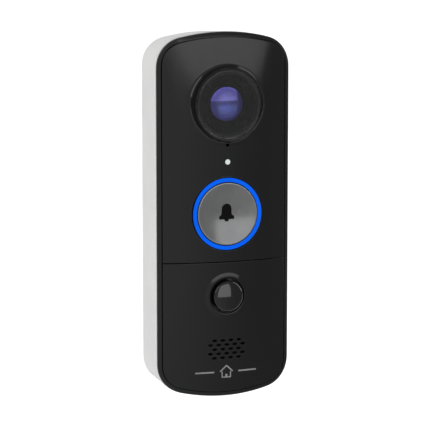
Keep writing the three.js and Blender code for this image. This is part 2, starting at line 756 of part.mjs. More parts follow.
// ---- speaker ------------------------------------------------------------------------------------
const meshHalfWidth = GRILLE_HALF_WIDTH - GAP;
const meshHalfHeight = GRILLE_HALF_HEIGHT - GAP;
const meshField = slab(roundedRectangle(0, SPEAKER_Z, meshHalfWidth, meshHalfHeight, 1.7), -40, -15);
add('grille_mesh', faceSheet(2.0, 2.4).intersect(meshField), BLACK_MATTE);

const speakerGasket = turned(0, SPEAKER_Z, [[8.6, -22.3], [9.8, -22.3], [9.8, -21.5], [8.6, -21.5]]);
add('speaker_gasket', speakerGasket, BLACK_RUBBER);

const speakerBasket = turned(0, SPEAKER_Z, [
  [8.9, -21.2],
  [9.8, -21.2],
  [9.8, -19.6],
  [6.8, -17.0],
  [6.8, -15.8],
  [5.6, -15.8],
  [5.6, -17.4],
  [8.9, -20.2],
]);
add('speaker_basket', speakerBasket, BLACK_MATTE);

const speakerCone = turned(0, SPEAKER_Z, [
  [0, -19.3],
  [2.6, -18.7],
  [7.7, -20.5],
  [8.6, -20.5],
  [8.6, -20.9],
  [7.6, -20.9],
  [2.4, -19.2],
  [0, -19.8],
]);
add('speaker_cone', speakerCone, CHIP_BLACK);

const speakerMagnet = turned(0, SPEAKER_Z, [
  [0, -12.4],
  [6.8, -12.4],
  [6.8, -15.4],
  [5.2, -15.4],
  [5.2, -17.0],
  [0, -17.0],
]);
add('speaker_magnet', speakerMagnet, STEEL);

// ---- main board and battery ---------------------------------------------------------------------
function mainBoard() {
  const board = slab(roundedRectangle(0, -5, 20.6, 33, 1.5), BOARD_FRONT, BOARD_BACK);
  const holes = [];
  for (const x of [-POST_X + 1.2, POST_X - 1.2]) {
    for (const z of [POST_LOW_Z, POST_HIGH_Z]) holes.push(rod(x, z, 1.1, -20, -15, 8));
  }
  return cut(board, holes);
}
add('main_board', mainBoard(), BOARD_GREEN);
add('processor', block(4, 14, -19.3, PART_SEAT, -10, 0), CHIP_BLACK);
add('wifi_shield', block(-17, -5, -19.8, PART_SEAT, -14, 2), STEEL);
add('wifi_antenna', block(-6, 6, -17, -8, 61.5, 62.0), GOLD);
add('battery_pack', slab(roundedRectangle(0, -4, 18, 30, 3), -14.4, -6.9), SILVER_WRAP);

function batteryBracket() {
  const sheet = slab(roundedRectangle(0, -4, 21.3, 31, 2), -15.8, -14.8);
  const holes = [slab(roundedRectangle(0, -4, 12, 22, 3), -20, -10)];
  for (const x of [-POST_X, POST_X]) {
    for (const z of [POST_LOW_Z, POST_HIGH_Z]) {
      holes.push(rod(x, z, 2.0, -20, -10, 8));
      holes.push(block(x - 2.2, x + 2.2, -20, -10, z - 2.0, z + 2.0));
    }
  }
  return cut(sheet, holes);
}
add('battery_bracket', batteryBracket(), BLACK_MATTE);

// ---- charging and wiring ------------------------------------------------------------------------
const CHARGE_BACK = -10.3;
const CHARGE_FRONT = -11.1;
const chargeBoard = slab(roundedRectangle(0, -50.1, 9, 11.6, 1), CHARGE_FRONT, CHARGE_BACK);
add('charge_board', chargeBoard, BOARD_GREEN);

const USB_MIDDLE_Y = -13;
function usbPort() {
  const half = 1.6;
  const shell = block(-4.45, 4.45, USB_MIDDLE_Y - half, USB_MIDDLE_Y + half, -63.3, -56.6);
  const hollow = block(-4.15, 4.15, USB_MIDDLE_Y - 1.3, USB_MIDDLE_Y + 1.3, -65, -57.2);
  const tongue = block(-3.3, 3.3, USB_MIDDLE_Y - 0.35, USB_MIDDLE_Y + 0.35, -62.6, -57);
  return join([cut(shell, [hollow]), tongue]);
}
add('usb_port', usbPort(), STEEL);

function terminalBlock() {
  const base = block(-8.5, 8.5, CHARGE_BACK + GAP, -5.1, TERMINAL_Z - 4, TERMINAL_Z + 4);
  return cut(base, [-TERMINAL_X, TERMINAL_X].map((x) => rod(x, TERMINAL_Z, 1.5, -8.5, -4, 10)));
}
add('terminal_block', terminalBlock(), CHIP_BLACK);

for (const [name, x] of [['terminal_screw_left', -TERMINAL_X], ['terminal_screw_right', TERMINAL_X]]) {
  const head = rod(x, TERMINAL_Z, 2.3, -4.7, -3.3);
  const shank = rod(x, TERMINAL_Z, 1.2, -8.1, -4.6, 8);
  add(name, cut(join([head, shank]), crossRecess(x, -3.3, TERMINAL_Z, 3)), GOLD);
}

add('reset_switch', block(-1.8, 1.8, CHARGE_BACK + GAP, -7.0, RESET_Z - 1.8, RESET_Z + 1.8), CHIP_BLACK);
const resetButton = turned(0, RESET_Z, [
  [0, -6.3],
  [1.45, -6.3],
  [1.45, -5.8],
  [2.3, -5.8],
  [2.3, -5.2],
  [1.45, -5.2],
  [1.45, -3.3],
  [0, -3.3],
], 12);
add('reset_button', resetButton, BLACK_RUBBER);

// Rubber flap over the charging socket, on a barrel at its back edge.
function portCover() {
  const half = FLAP_THICKNESS / 2;
  const front = FLAP_HINGE_Y - 6;
  const low = FLAP_HINGE_Z - half;
  const high = FLAP_HINGE_Z + half;
  const barrel = new THREE.CylinderGeometry(half, half, 12.6, 10);
  barrel.rotateZ(Math.PI / 2);
  barrel.translate(0, FLAP_HINGE_Y, FLAP_HINGE_Z);
  return join([
    block(-6.3, 6.3, front, FLAP_HINGE_Y, low, high),
    solid(barrel),
    block(-3.9, 3.9, USB_MIDDLE_Y - 1.1, USB_MIDDLE_Y + 1.1, high - 0.2, high + 0.35),
  ]);
}
add('port_cover', portCover(), BLACK_RUBBER);

export default doorbell;
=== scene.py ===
# %% [markdown]
# # A battery video doorbell
# The CAD frame gives every node's place. This notebook gives the doorbell its looks: it swaps the
# faceted outer pieces for fine surfaces worked out with numpy, gives every piece a procedural
# material, and sets up a camera and a soft studio.

# %% Load the frame
import math

import bmesh
import bpy
import numpy as np
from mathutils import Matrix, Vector


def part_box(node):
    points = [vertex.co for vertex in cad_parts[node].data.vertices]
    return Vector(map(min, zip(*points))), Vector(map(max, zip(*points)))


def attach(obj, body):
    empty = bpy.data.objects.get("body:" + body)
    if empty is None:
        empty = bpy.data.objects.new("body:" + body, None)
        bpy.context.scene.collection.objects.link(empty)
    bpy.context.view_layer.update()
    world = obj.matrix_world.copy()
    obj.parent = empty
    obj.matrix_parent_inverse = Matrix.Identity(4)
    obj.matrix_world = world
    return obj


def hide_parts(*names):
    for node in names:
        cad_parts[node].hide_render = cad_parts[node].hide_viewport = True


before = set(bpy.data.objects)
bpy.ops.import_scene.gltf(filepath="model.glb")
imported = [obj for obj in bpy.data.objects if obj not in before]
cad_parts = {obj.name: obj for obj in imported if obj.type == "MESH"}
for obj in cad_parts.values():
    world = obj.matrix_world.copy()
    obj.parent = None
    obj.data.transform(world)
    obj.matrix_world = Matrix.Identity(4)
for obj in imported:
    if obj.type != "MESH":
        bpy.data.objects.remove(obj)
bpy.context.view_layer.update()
MM = 0.001

# %% [markdown]
# ## Sizes taken from the frame
# Each place is read from a CAD node's box, so the fine surfaces sit exactly where the nodes are.
# Only what a box can't say, such as how much the face bows, is a number here. The outline and the
# bow are in metres, and the shapes drawn on them are in millimetres.

# %% Sizes
shell_low, shell_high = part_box("rear_housing")
HALF_WIDTH = shell_high.x
HALF_HEIGHT = shell_high.z
SHELL_BACK = shell_high.y
SHELL_FRONT = shell_low.y
CORNER = 8.7 * MM
CORNER_POWER = 2.33
END_ARCH = 4.5 * MM
FACE_EDGE = SHELL_FRONT - 0.8 * MM
FACE_BULGE = 4.8 * MM
FACE_FADE = 0.44
GAP = 0.3 * MM
SEAM_HALF = 0.15
PANEL_INSET = 1.9
PANEL_THICKNESS = 1.4
ROUND = 160
THROUGH = (-40, -15)


def middle(node):
    """The centre of a node's box."""
    low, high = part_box(node)
    return (low + high) / 2


def spot(node):
    """The x and z of a node's centre in mm."""
    centre = middle(node)
    return centre.x / MM, centre.z / MM


LENS_Z = spot("lens_window")[1]
BUTTON_Z = spot("button_cap")[1]
STATUS_Z = spot("status_lens")[1]
PIR_Z = spot("pir_lens")[1]
SPEAKER_Z = spot("speaker_basket")[1]
MIC_Z = spot("microphone")[1]
SEAM_Z = (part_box("upper_fascia")[0].z - GAP / 2) / MM
SCREW_PLACES = [spot(f"housing_screw_{i}") for i in (1, 2, 3, 4)]
LED_PLACES = [spot(f"ir_led_{i}") for i in (1, 2, 3, 4)]
print("half width and height (mm):", HALF_WIDTH / MM, HALF_HEIGHT / MM)

# %% [markdown]
# ## Camera
# The lens is long, so the doorbell shows little perspective. The camera stands to the left of the
# doorbell and a little above it, and looks just to the left of the doorbell's middle.

# %% Camera
VIEW_TURN = math.radians(19.63)
VIEW_RISE = math.radians(7.87)
VIEW_DISTANCE = 0.670
AIM = Vector((-3.3 * MM, FACE_EDGE + 1.3 * MM, 0.6 * MM))

camera_data = bpy.data.cameras.new("view_camera")
camera_data.sensor_width = 36
camera_data.lens = 158.0
camera = bpy.data.objects.new("view_camera", camera_data)
bpy.context.scene.collection.objects.link(camera)
back = Vector(
    (
        -math.sin(VIEW_TURN) * math.cos(VIEW_RISE),
        -math.cos(VIEW_TURN) * math.cos(VIEW_RISE),
        math.sin(VIEW_RISE),
    )
)
camera.location = AIM + VIEW_DISTANCE * back
camera.rotation_euler = (-back).to_track_quat("-Z", "Y").to_euler()
bpy.context.scene.camera = camera
print("camera at", tuple(round(v, 4) for v in camera.location))

# %% [markdown]
# ## The two curves behind every outer piece
# The outline is a rounded rectangle with superellipse corners and arched ends. The face is a
# parabola across the width that flattens a little towards the ends. Every outer piece uses these two
# formulas, so neighbours meet along the same line however finely each is divided.

# %% Outline and face
def outline(inset):
    """Points of the outline moved inwards by inset, anticlockwise from the right, as (n, 2).

    A quarter is a straight side, then a corner where x and z are the 2/n powers of a cosine and a
    sine, then the flat end. Afterwards z drops by END_ARCH times the square of x over the half
    width, which arches the ends. The other three quarters mirror it.
    """
    corner_steps, arch_steps, side_steps = 22, 14, 40
    half_width = HALF_WIDTH - inset
    half_height = HALF_HEIGHT - inset
    radius = max(CORNER - inset, 2 * MM)
    turn = np.linspace(0, np.pi / 2, corner_steps + 1)
    corner_x = half_width - radius + radius * np.cos(turn).clip(0) ** (2 / CORNER_POWER)
    corner_z = half_height - radius + radius * np.sin(turn) ** (2 / CORNER_POWER)
    side_z = np.linspace(0, half_height - radius, side_steps + 1)[:-1]
    end_x = np.linspace(half_width - radius, 0, arch_steps + 1)[1:]
    x = np.concatenate([np.full(side_steps, half_width), corner_x, end_x])
    z = np.concatenate([side_z, corner_z, np.full(arch_steps, half_height)])
    quarter = np.stack([x, z], 1)
    half = np.concatenate([quarter, quarter[-2::-1] * [-1, 1]])
    full = np.concatenate([half, half[-2:0:-1] * [1, -1]])
    drop = END_ARCH * (full[:, 0] / HALF_WIDTH) ** 2
    ramp = np.clip(np.abs(full[:, 1]) / (half_height - radius), 0, 1)
    full[:, 1] -= np.sign(full[:, 1]) * drop * ramp
    return full


def face_y(x, z):
    """The bowed face: the edge depth, less the bulge times a parabola in x and one in z."""
    across = 1 - (x / HALF_WIDTH) ** 2
    along = 1 - FACE_FADE * (z / HALF_HEIGHT) ** 2
    return FACE_EDGE - FACE_BULGE * across * along


def bow(x, z):
    """The depth of the bowed face in mm, at a place in mm."""
    return face_y(x * MM, z * MM) / MM


def face_normal(x, z):
    """The outward normal of the bowed face, from the two slopes of its formula."""
    along = 1 - FACE_FADE * (z / HALF_HEIGHT) ** 2
    across = 1 - (x / HALF_WIDTH) ** 2
    slope_x = FACE_BULGE * along * 2 * x / HALF_WIDTH**2
    slope_z = FACE_BULGE * across * FACE_FADE * 2 * z / HALF_HEIGHT**2
    normal = np.stack([slope_x, -np.ones_like(slope_x), slope_z], -1)
    return normal / np.linalg.norm(normal, axis=-1, keepdims=True)


print("outline has", len(outline(0)), "points")

# %% [markdown]
# ## From points to a mesh
# Every new piece is a skin: rows of points, each row a closed loop. The rows either close on each
# other, like a tyre, or the first and last are closed by a fan to their middle, like a drum. Turned
# parts, swept rims, bowed sheets and cutters only differ in how the rows are worked out.

# %% Skin
def grid_faces(rows, columns, wrap_rows, wrap_columns):
    """Quads that join each grid point to its next row and column."""
    row = np.arange(rows if wrap_rows else rows - 1)
    column = np.arange(columns if wrap_columns else columns - 1)
    r, c = np.meshgrid(row, column, indexing="ij")
    r2, c2 = (r + 1) % rows, (c + 1) % columns
    quads = np.stack([r * columns + c, r * columns + c2, r2 * columns + c2, r2 * columns + c], -1)
    return quads.reshape(-1, 4)


def show(name, data):
    """A new object for a mesh or a lamp, in the scene."""
    piece = bpy.data.objects.new(name, data)
    bpy.context.scene.collection.objects.link(piece)
    return piece


def shade(mesh, angle=35):
    """Smooth shading, with the edges sharper than the angle kept sharp."""
    mesh.shade_smooth()
    mesh.set_sharp_from_angle(angle=math.radians(angle))


def skin(name, rows, loop=False, angle=35):
    """Rows of points in mm joined by quads, with fans at both ends unless the rows loop."""
    rows = np.asarray(rows, float) * MM
    count, around = rows.shape[:2]
    points = rows.reshape(-1, 3)
    faces = grid_faces(count, around, loop, True).tolist()
    if not loop:
        here = np.arange(around)
        after = (here + 1) % around
        last = (count - 1) * around
        hub = np.full(around, len(points))
        faces += np.stack([hub, after, here], 1).tolist()
        faces += np.stack([hub + 1, last + here, last + after], 1).tolist()
        points = np.concatenate([points, rows[:1].mean(1), rows[-1:].mean(1)])
    mesh = bpy.data.meshes.new(name)
    mesh.from_pydata(points.tolist(), [], faces)
    shape = bmesh.new()
    shape.from_mesh(mesh)
    bmesh.ops.remove_doubles(shape, verts=shape.verts, dist=2e-7)
    bmesh.ops.dissolve_degenerate(shape, edges=shape.edges, dist=1e-8)
    bmesh.ops.recalc_face_normals(shape, faces=shape.faces)
    shape.to_mesh(mesh)
    shape.free()
    shade(mesh, angle)
    return show(name, mesh)


# %% [markdown]
# ## Sections with soft corners
# Moulded edges are never sharp. A section is written as its plain corners, each with how far its
# rounding reaches, and one function softens every row by the same Bezier formula.

# %% Soft corners
SOFT_STEPS = 5


def soften(rows, reach, closed=True):
    """Each row becomes a curve round its corner: a quadratic Bezier between the points that lie
    reach away from it, towards the row before and the row after, but never past the middle."""
    rows = np.asarray(rows, float)
    count = len(rows)
    out = []
    for i, size in enumerate(reach):
        end_row = not closed and i in (0, count - 1)
        if size <= 0 or end_row:
            out.append(rows[i][None])
            continue
        here = rows[i]
        ends = []
        for neighbour in (rows[i - 1], rows[(i + 1) % count]):
            away = neighbour - here
            length = np.maximum(np.linalg.norm(away, axis=-1, keepdims=True), 1e-9)
            ends.append(here + away / length * np.minimum(size, 0.45 * length))
        t = np.linspace(0, 1, SOFT_STEPS + 1).reshape(-1, *[1] * here.ndim)
        start, end = ends
        out.append((1 - t) ** 2 * start + 2 * t * (1 - t) * here + t**2 * end)
    return np.concatenate(out)


def turned(name, x, z, corners, segments=128, axis="y"):
    """A closed section of [radius, depth, rounding] turned once round a line through (x, z).

    A point at turn a and radius r lies at x + r cos a across and z + r sin a up, and its depth runs
    along the line. With the axis "z" the line stands upright, and z is then its y.
    """
    corners = np.asarray(corners, float)
    section = soften(corners[:, :2], corners[:, 2])
    a = np.linspace(0, 2 * np.pi, segments, endpoint=False)
    r = section[:, :1].clip(0)
    across, up = x + r * np.cos(a), z + r * np.sin(a)
    depth = np.broadcast_to(section[:, 1:2], across.shape)
    order = [across, depth, up] if axis == "y" else [across, up, depth]
    return skin(name, np.stack(order, -1), loop=True)


def ring_row(inset, depth):
    """The outline moved inwards by inset, at a depth in mm or, as a tuple, that far behind the face."""
    edge = outline(inset * MM)
    y = face_y(edge[:, 0], edge[:, 1]) + depth[0] * MM if isinstance(depth, tuple) else depth * MM
    return np.stack([edge[:, 0], np.broadcast_to(y, len(edge)), edge[:, 1]], 1) / MM


def swept(name, corners):
    """An open section of [inset, depth, rounding] carried round the outline, closed by two fans."""
    rows = [ring_row(inset, depth) for inset, depth, _ in corners]
    return skin(name, soften(rows, [c[2] for c in corners], closed=False))


def face_sheet(name, inset, front, back, edge=0.25):
    """A bowed sheet between two depths behind the face, with its front edge rounded.

    Ring k is the outline times a factor that falls from 1 towards 0, laid on the face's formula.
    """
    border = outline(inset * MM) / MM
    scales = np.linspace(1, 0.02, 16)[1:]
    turns = np.linspace(0, np.pi / 2, 5)
    rows = [(border * s, front) for s in scales[::-1]]
    for t in turns:
        rounded = outline((inset + edge * (1 - math.sin(t))) * MM) / MM
        rows.append((rounded, front + edge * (1 - math.cos(t))))
    rows.append((border, back))
    rows += [(border * s, back) for s in scales]
    laid = [np.stack([p[:, 0], bow(p[:, 0], p[:, 1]) + d, p[:, 1]], 1) for p, d in rows]
    return skin(name, laid)


# %% [markdown]
# ## Flat shapes and cutters
# A hole is made by cutting a solid away. The cutter's own corners carry the hole's soft edge: it
# flares where it leaves the surface, and on the bowed face it follows the bow.

# %% Flat shapes
def oval(x, z, half_width, half_height, count=64):
    """An ellipse: x + a cos t, z + b sin t."""
    t = np.linspace(0, 2 * np.pi, count, endpoint=False)
    return np.stack([x + half_width * np.cos(t), z + half_height * np.sin(t)], 1)


def soft_box(x, z, half_width, half_height, radius, steps=6):
    """A rectangle with quarter-circle corners, anticlockwise."""
    t = np.linspace(0, np.pi / 2, steps + 1)
    centre = np.array([half_width - radius, half_height - radius])
    corner = centre + np.stack([radius * np.cos(t), radius * np.sin(t)], 1)
    top = np.concatenate([corner, corner[::-1] * [-1, 1]])
    return np.concatenate([top, -top]) + [x, z]


def keyhole_shape(x, z):
    """A circle for the hook's head with a round-topped slot above it, anticlockwise."""
    lift, head, neck = 8, 3.0, 1.7
    half = math.asin(neck / head)
    t = np.linspace(np.pi / 2 + half, 2.5 * np.pi - half, 40)
    circle = np.stack([head * np.cos(t), head * np.sin(t) - lift], 1)
    t = np.linspace(0, np.pi, 16)
    top = np.stack([neck * np.cos(t), neck * np.sin(t) + 0.2], 1)
    return np.concatenate([circle, top]) + [x, z]


def grow(shape, distance):
    """Moves each point of an anticlockwise shape out along the normal of its two neighbours."""
    along = np.roll(shape, -1, 0) - np.roll(shape, 1, 0)
    along /= np.linalg.norm(along, axis=1, keepdims=True)
    return shape + distance * np.stack([along[:, 1], -along[:, 0]], 1)


def stacked(name, shapes, levels, axis="y"):
    """Flat shapes at levels along an axis, joined into one solid."""
    rows = []
    for shape, level in zip(shapes, levels):
        level = np.broadcast_to(level, len(shape))
        rows.append({"y": (shape[:, 0], level, shape[:, 1]), "z": (shape[:, 0], shape[:, 1], level)}[axis])
    return skin(name, np.array(rows).transpose(0, 2, 1))


def prism(name, shape, low, high, axis="y", rounding=0.0):
    """A straight bar with a flat outline, its two ends rounded by quarter circles."""
    turn = np.linspace(0, np.pi / 2, 5) if rounding else np.array([np.pi / 2])
    inset, rise = rounding * (1 - np.sin(turn)), rounding * (1 - np.cos(turn))
    insets = np.concatenate([inset, inset[::-1]])
    levels = np.concatenate([low + rise, (high - rise)[::-1]])
    return stacked(name, [grow(shape, -i) for i in insets], levels, axis)


def rod(x, z, radius, low, high, count=48):
    """A straight round bar along Y."""
    return prism("rod", oval(x, z, radius, radius, count), low, high)


def block(low_x, high_x, low_y, high_y, low_z, high_z):
    """A plain box between two limits on each axis."""
    shape = [[low_x, low_z], [high_x, low_z], [high_x, high_z], [low_x, high_z]]
    return stacked("block", [np.array(shape, float)] * 2, [low_y, high_y])


def sunk(shape, surface, deep, flare):
    """A cutter for a flat surface that faces +Y, flared by a quarter circle where it leaves it."""
    turn = np.linspace(0, np.pi / 2, 4)
    grown = [flare, *(flare * (1 - np.sin(turn))), 0]
    levels = [surface + 1, *(surface - flare * (1 - np.cos(turn))), deep]
    return stacked("sunk", [grow(shape, g) for g in grown], levels)


def face_bore(shape, deep, flare):
    """A cutter for the bowed face, flared by a quarter circle that follows the bow."""
    turn = np.linspace(0, np.pi / 2, 5)
    grown = [flare, *(flare * (1 - np.sin(turn))), 0]
    offsets = [-1, *(flare * (1 - np.cos(turn))), deep]
    shapes = [grow(shape, g) for g in grown]
    levels = [bow(s[:, 0], s[:, 1]) + o for s, o in zip(shapes, offsets)]
    return stacked("bore", shapes, levels)


# %% Cutting and joining
def merged(pieces):
    """Several separate solids as one object."""
    shape = bmesh.new()
    for piece in pieces:
        shape.from_mesh(piece.data)
        bpy.data.objects.remove(piece, do_unlink=True)
    mesh = bpy.data.meshes.new("merged")
    shape.to_mesh(mesh)
    shape.free()
    return show("merged", mesh)


def baked(piece, keep_layers=False):
    """The piece's mesh as its modifiers leave it; the modifiers are then gone."""
    graph = bpy.context.evaluated_depsgraph_get()
    graph.update()
    layers = {"preserve_all_data_layers": True, "depsgraph": graph} if keep_layers else {}
    mesh = bpy.data.meshes.new_from_object(piece.evaluated_get(graph), **layers)
    piece.modifiers.clear()
    return mesh


def carve(piece, tools, operation="DIFFERENCE"):
    """Cuts the tools away from the piece, or joins them to it, one after the other."""
    for tool in tools:
        step = piece.modifiers.new("carve", "BOOLEAN")
        step.operation, step.solver, step.object = operation, "EXACT", tool
    piece.data = baked(piece)
    for tool in tools:
        bpy.data.objects.remove(tool, do_unlink=True)
    shade(piece.data)
    return piece


def bow_normals(piece):
    """Gives what lies on the bowed face the face's own exact normals.

    A cut leaves long thin faces, which a gloss would show as streaks. A face corner whose own face
    points almost where the formula says takes the formula's normal instead.
    """
    mesh = piece.data
    vertex = np.empty(len(mesh.loops), np.int32)
    mesh.loops.foreach_get("vertex_index", vertex)
    places = np.empty(3 * len(mesh.vertices))
    mesh.vertices.foreach_get("co", places)
    places = places.reshape(-1, 3)[vertex]
    normals = np.empty(3 * len(mesh.loops))
    mesh.corner_normals.foreach_get("vector", normals)
    sides = np.empty(len(mesh.polygons), np.int32)
    mesh.polygons.foreach_get("loop_total", sides)
    flat = np.empty(3 * len(mesh.polygons))
    mesh.polygons.foreach_get("normal", flat)
    flat = np.repeat(flat.reshape(-1, 3), sides, axis=0)
    exact = face_normal(places[:, 0], places[:, 2])
    agree = (flat * exact).sum(1)[:, None]
    normals = np.where(agree > 0.999, exact, normals.reshape(-1, 3))
    mesh.normals_split_custom_set(normals.tolist())
    return piece


def true_flats(piece):
    """Weighs each corner's normal by face area, so a flat face beside a small bevel stays flat."""
    step = piece.modifiers.new("flats", "WEIGHTED_NORMAL")
    step.keep_sharp = True
    piece.data = baked(piece, keep_layers=True)
    piece.data.name = piece.name


def dress(piece, body, material, nodes=()):
    """Puts the material on, hangs the piece on its body and hides the nodes it replaces."""
    if not piece.data.has_custom_normals:
        true_flats(piece)
    piece.data.materials.clear()
    piece.data.materials.append(material)
    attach(piece, body)
    if nodes:
        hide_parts(*nodes)
    print(f"{piece.name}: {len(piece.data.polygons)} faces on {body}")
    return piece


# %% [markdown]
# ## Shader maths
# A wrapped socket lets a pattern be written as a sum: each operator adds one Math node. Colours and
# vectors have their own nodes, because a Math node turns a colour grey.

# %% Shader helper
class Wire:
    """A node socket that can be added, multiplied and compared like a number."""

    def __init__(self, paint, socket):
        self.paint, self.socket = paint, socket

    def do(self, operation, *others):
        return self.paint.node("ShaderNodeMath", {"operation": operation}, [self, *others])

    def after(self, operation, first):
        """The same node with the other value first, as in 1 - wire."""
        return self.paint.node("ShaderNodeMath", {"operation": operation}, [first, self])

    def __add__(self, other):
        return self.do("ADD", other)

    def __sub__(self, other):
        return self.do("SUBTRACT", other)

    def __rsub__(self, other):
        return self.after("SUBTRACT", other)

    def __mul__(self, other):
        return self.do("MULTIPLY", other)

    def __truediv__(self, other):
        return self.do("DIVIDE", other)

    def __rtruediv__(self, other):
        return self.after("DIVIDE", other)

    def __pow__(self, other):
        return self.do("POWER", other)

    def __rpow__(self, other):
        return self.after("POWER", other)

    __radd__ = __add__
    __rmul__ = __mul__

    def step(self, low, high, to_low=0.0, to_high=1.0):
        """Smooth step from to_low to to_high as the value goes from low to high."""
        settings = {"interpolation_type": "SMOOTHSTEP"}
        return self.paint.node("ShaderNodeMapRange", settings, [self, low, high, to_low, to_high])


class Paint:
    """One material's node tree, with one method that adds any node."""

    def __init__(self, name):
        self.material = bpy.data.materials.new(name)
        self.material.use_nodes = True
        self.tree = self.material.node_tree
        self.shader = self.tree.nodes["Principled BSDF"]

    def node(self, kind, settings=None, values=(), output=0):
        """Adds a node: settings first, then socket values or links by order or by name."""
        made = self.tree.nodes.new(kind)
        for key, value in (settings or {}).items():
            setattr(made, key, value)
        pairs = values.items() if isinstance(values, dict) else enumerate(values)
        for key, value in pairs:
            self.plug(made.inputs[key], value)
        return Wire(self, made.outputs[output])

    def plug(self, socket, value):
        if isinstance(value, Wire):
            self.tree.links.new(value.socket, socket)
        elif hasattr(socket.default_value, "__len__") and len(value) < len(socket.default_value):
            socket.default_value = (*value, 1)
        else:
            socket.default_value = value

    def place(self, centre=(0, 0, 0)):
        """Object coordinates in millimetres, measured from a centre in metres."""
        here = self.node("ShaderNodeTexCoord", output="Object")
        moved = self.node("ShaderNodeVectorMath", {"operation": "SUBTRACT"}, [here, tuple(centre)])
        return self.node("ShaderNodeMapping", {}, {"Vector": moved, "Scale": (1 / MM,) * 3})

    def split(self, vector):
        """The x, y and z of a vector as three wires."""
        node = self.tree.nodes.new("ShaderNodeSeparateXYZ")
        self.plug(node.inputs[0], vector)
        return [Wire(self, out) for out in node.outputs]

    def noise(self, vector, scale, detail=3, roughness=0.5):
        values = {"Vector": vector, "Scale": scale, "Detail": detail, "Roughness": roughness}
        return self.node("ShaderNodeTexNoise", {}, values)

    def mix(self, factor, first, second):
        """A colour between two. A Mix node keeps its colour sockets after its number sockets."""
        made = self.tree.nodes.new("ShaderNodeMix")
        made.data_type = "RGBA"
        for index, value in ((0, factor), (6, first), (7, second)):
            self.plug(made.inputs[index], value)
        return Wire(self, made.outputs[2])

    def bump(self, height, strength, distance):
        """A Bump node on the shader's Normal, with the height in millimetres."""
        values = {"Height": height, "Strength": strength, "Distance": distance * MM}
        self.set(Normal=self.node("ShaderNodeBump", {}, values))

    def set(self, **values):
        for key, value in values.items():
            self.plug(self.shader.inputs[key.replace("_", " ")], value)


print("shader helper ready")

# %% [markdown]
# ## Studio
# A pale floor runs back and curves up into a backdrop. Three softboxes hang in front. The first
# lights the face and nearly all else, and its lower edge is just under the doorbell's top, so that
# the bowed face picks up a soft patch of light only near its top. The second lights the push button
# alone and the third the sensor dome. A strip further right draws thin lines on round rims, and a
# panel on the left lights the white side.

# %% Floor and lights
def stage_sweep():
    """The floor as a sheet: flat, then a quarter circle, then a wall, the same for every x."""
    turn = np.linspace(0, np.pi / 2, 13)
    y = np.concatenate([[-0.08, 0.6], 1.6 + 0.8 * np.sin(turn), [2.4]])
    z = np.concatenate([[0, 0], 0.8 - 0.8 * np.cos(turn), [2.6]]) - 0.25
    x = np.array([-2.6, 2.6])
    points = np.stack(np.broadcast_arrays(x[None, :], y[:, None], z[:, None]), -1)
    mesh = bpy.data.meshes.new("studio_floor")
    mesh.from_pydata(points.reshape(-1, 3).tolist(), [], grid_faces(len(y), 2, False, False).tolist())
    mesh.shade_smooth()
    return show("studio_floor", mesh)


def area_light(name, place, towards, width, height, radiance):
    """A rectangle of light; its power is radiance times pi times its area."""
    lamp = bpy.data.lights.new(name, "AREA")
    lamp.shape = "RECTANGLE"
    lamp.size, lamp.size_y = width, height
    lamp.energy = radiance * math.pi * width * height
    holder = show(name, lamp)
    holder.location = place
    holder.rotation_euler = (Vector(towards) - Vector(place)).to_track_quat("-Z", "Y").to_euler()
    holder.visible_camera = False
    return holder


floor = stage_sweep()
floor_paint = Paint("studio_paper")
paper = floor_paint.noise(floor_paint.place(), 0.02, 3)
floor_paint.set(Base_Color=floor_paint.mix(paper, (0.90, 0.90, 0.90), (0.94, 0.94, 0.94)), Roughness=0.9)
floor_seen = floor_paint.node("ShaderNodeLightPath", output="Is Camera Ray")
floor_glow = floor_paint.mix(floor_seen, (0.22, 0.22, 0.22), (0.66, 0.66, 0.66))
floor_paint.set(Emission_Color=floor_glow, Emission_Strength=1.0)
floor.data.materials.append(floor_paint.material)

SOFTBOX_AWAY = 1.5


def softbox(name, left, right, low, high, radiance=1.25):
    """A softbox in front, facing the wall, given by its four edges."""
    x, z = (left + right) / 2, (low + high) / 2
    return area_light(name, (x, -SOFTBOX_AWAY, z), (x, 0, z), right - left, high - low, radiance)


def light_only(lamp, pieces, others=()):
    """The lamp lights these pieces only or, where none are given, all but the others."""
    receivers = bpy.data.collections.new(lamp.name + "_receivers")
    for piece in [*pieces, *others]:
        receivers.objects.link(piece)
    for entry in receivers.collection_objects:
        entry.light_linking.link_state = "INCLUDE" if pieces else "EXCLUDE"
    lamp.light_linking.receiver_collection = receivers


front_softbox = softbox("front_softbox", -0.24, 1.20, 0.055, 1.10, 1.1)
cap_softbox = softbox("cap_softbox", -0.24, 0.90, -0.10, 1.10, 1.2)
dome_softbox = softbox("dome_softbox", -0.62, 0.60, -0.29, 1.15, 1.9)
area_light("right_strip", (1.5, -0.25, 0.75), (0, 0, 0), 0.30, 1.5, 4.0)
area_light("left_panel", (-1.5, 0.1, 1.0), (0, 0.05, 0.0), 1.6, 1.4, 1.32)

world = bpy.data.worlds.new("studio_air")
world.use_nodes = True
bpy.context.scene.world = world
bpy.context.scene.view_settings.view_transform = "Standard"


class Air(Paint):
    """The world's node tree, with the same helper methods as a material."""

    def __init__(self, world):
        self.tree = world.node_tree
        self.shader = self.tree.nodes["Background"]


air = Air(world)
direction = air.node("ShaderNodeTexCoord", output="Generated")
side = air.split(direction)[0]
behind = air.split(direction)[1]
front_glow = side.step(-0.35, 0.75, 0.47, 0.21)
glow = front_glow + behind.step(-0.2, 0.4) * (0.45 - front_glow)
seen = air.node("ShaderNodeLightPath", output="Is Camera Ray")
level = glow + seen * (1.05 - glow)
air.set(Color=air.node("ShaderNodeCombineColor", {}, [level, level, level]), Strength=1.0)
print("studio ready")

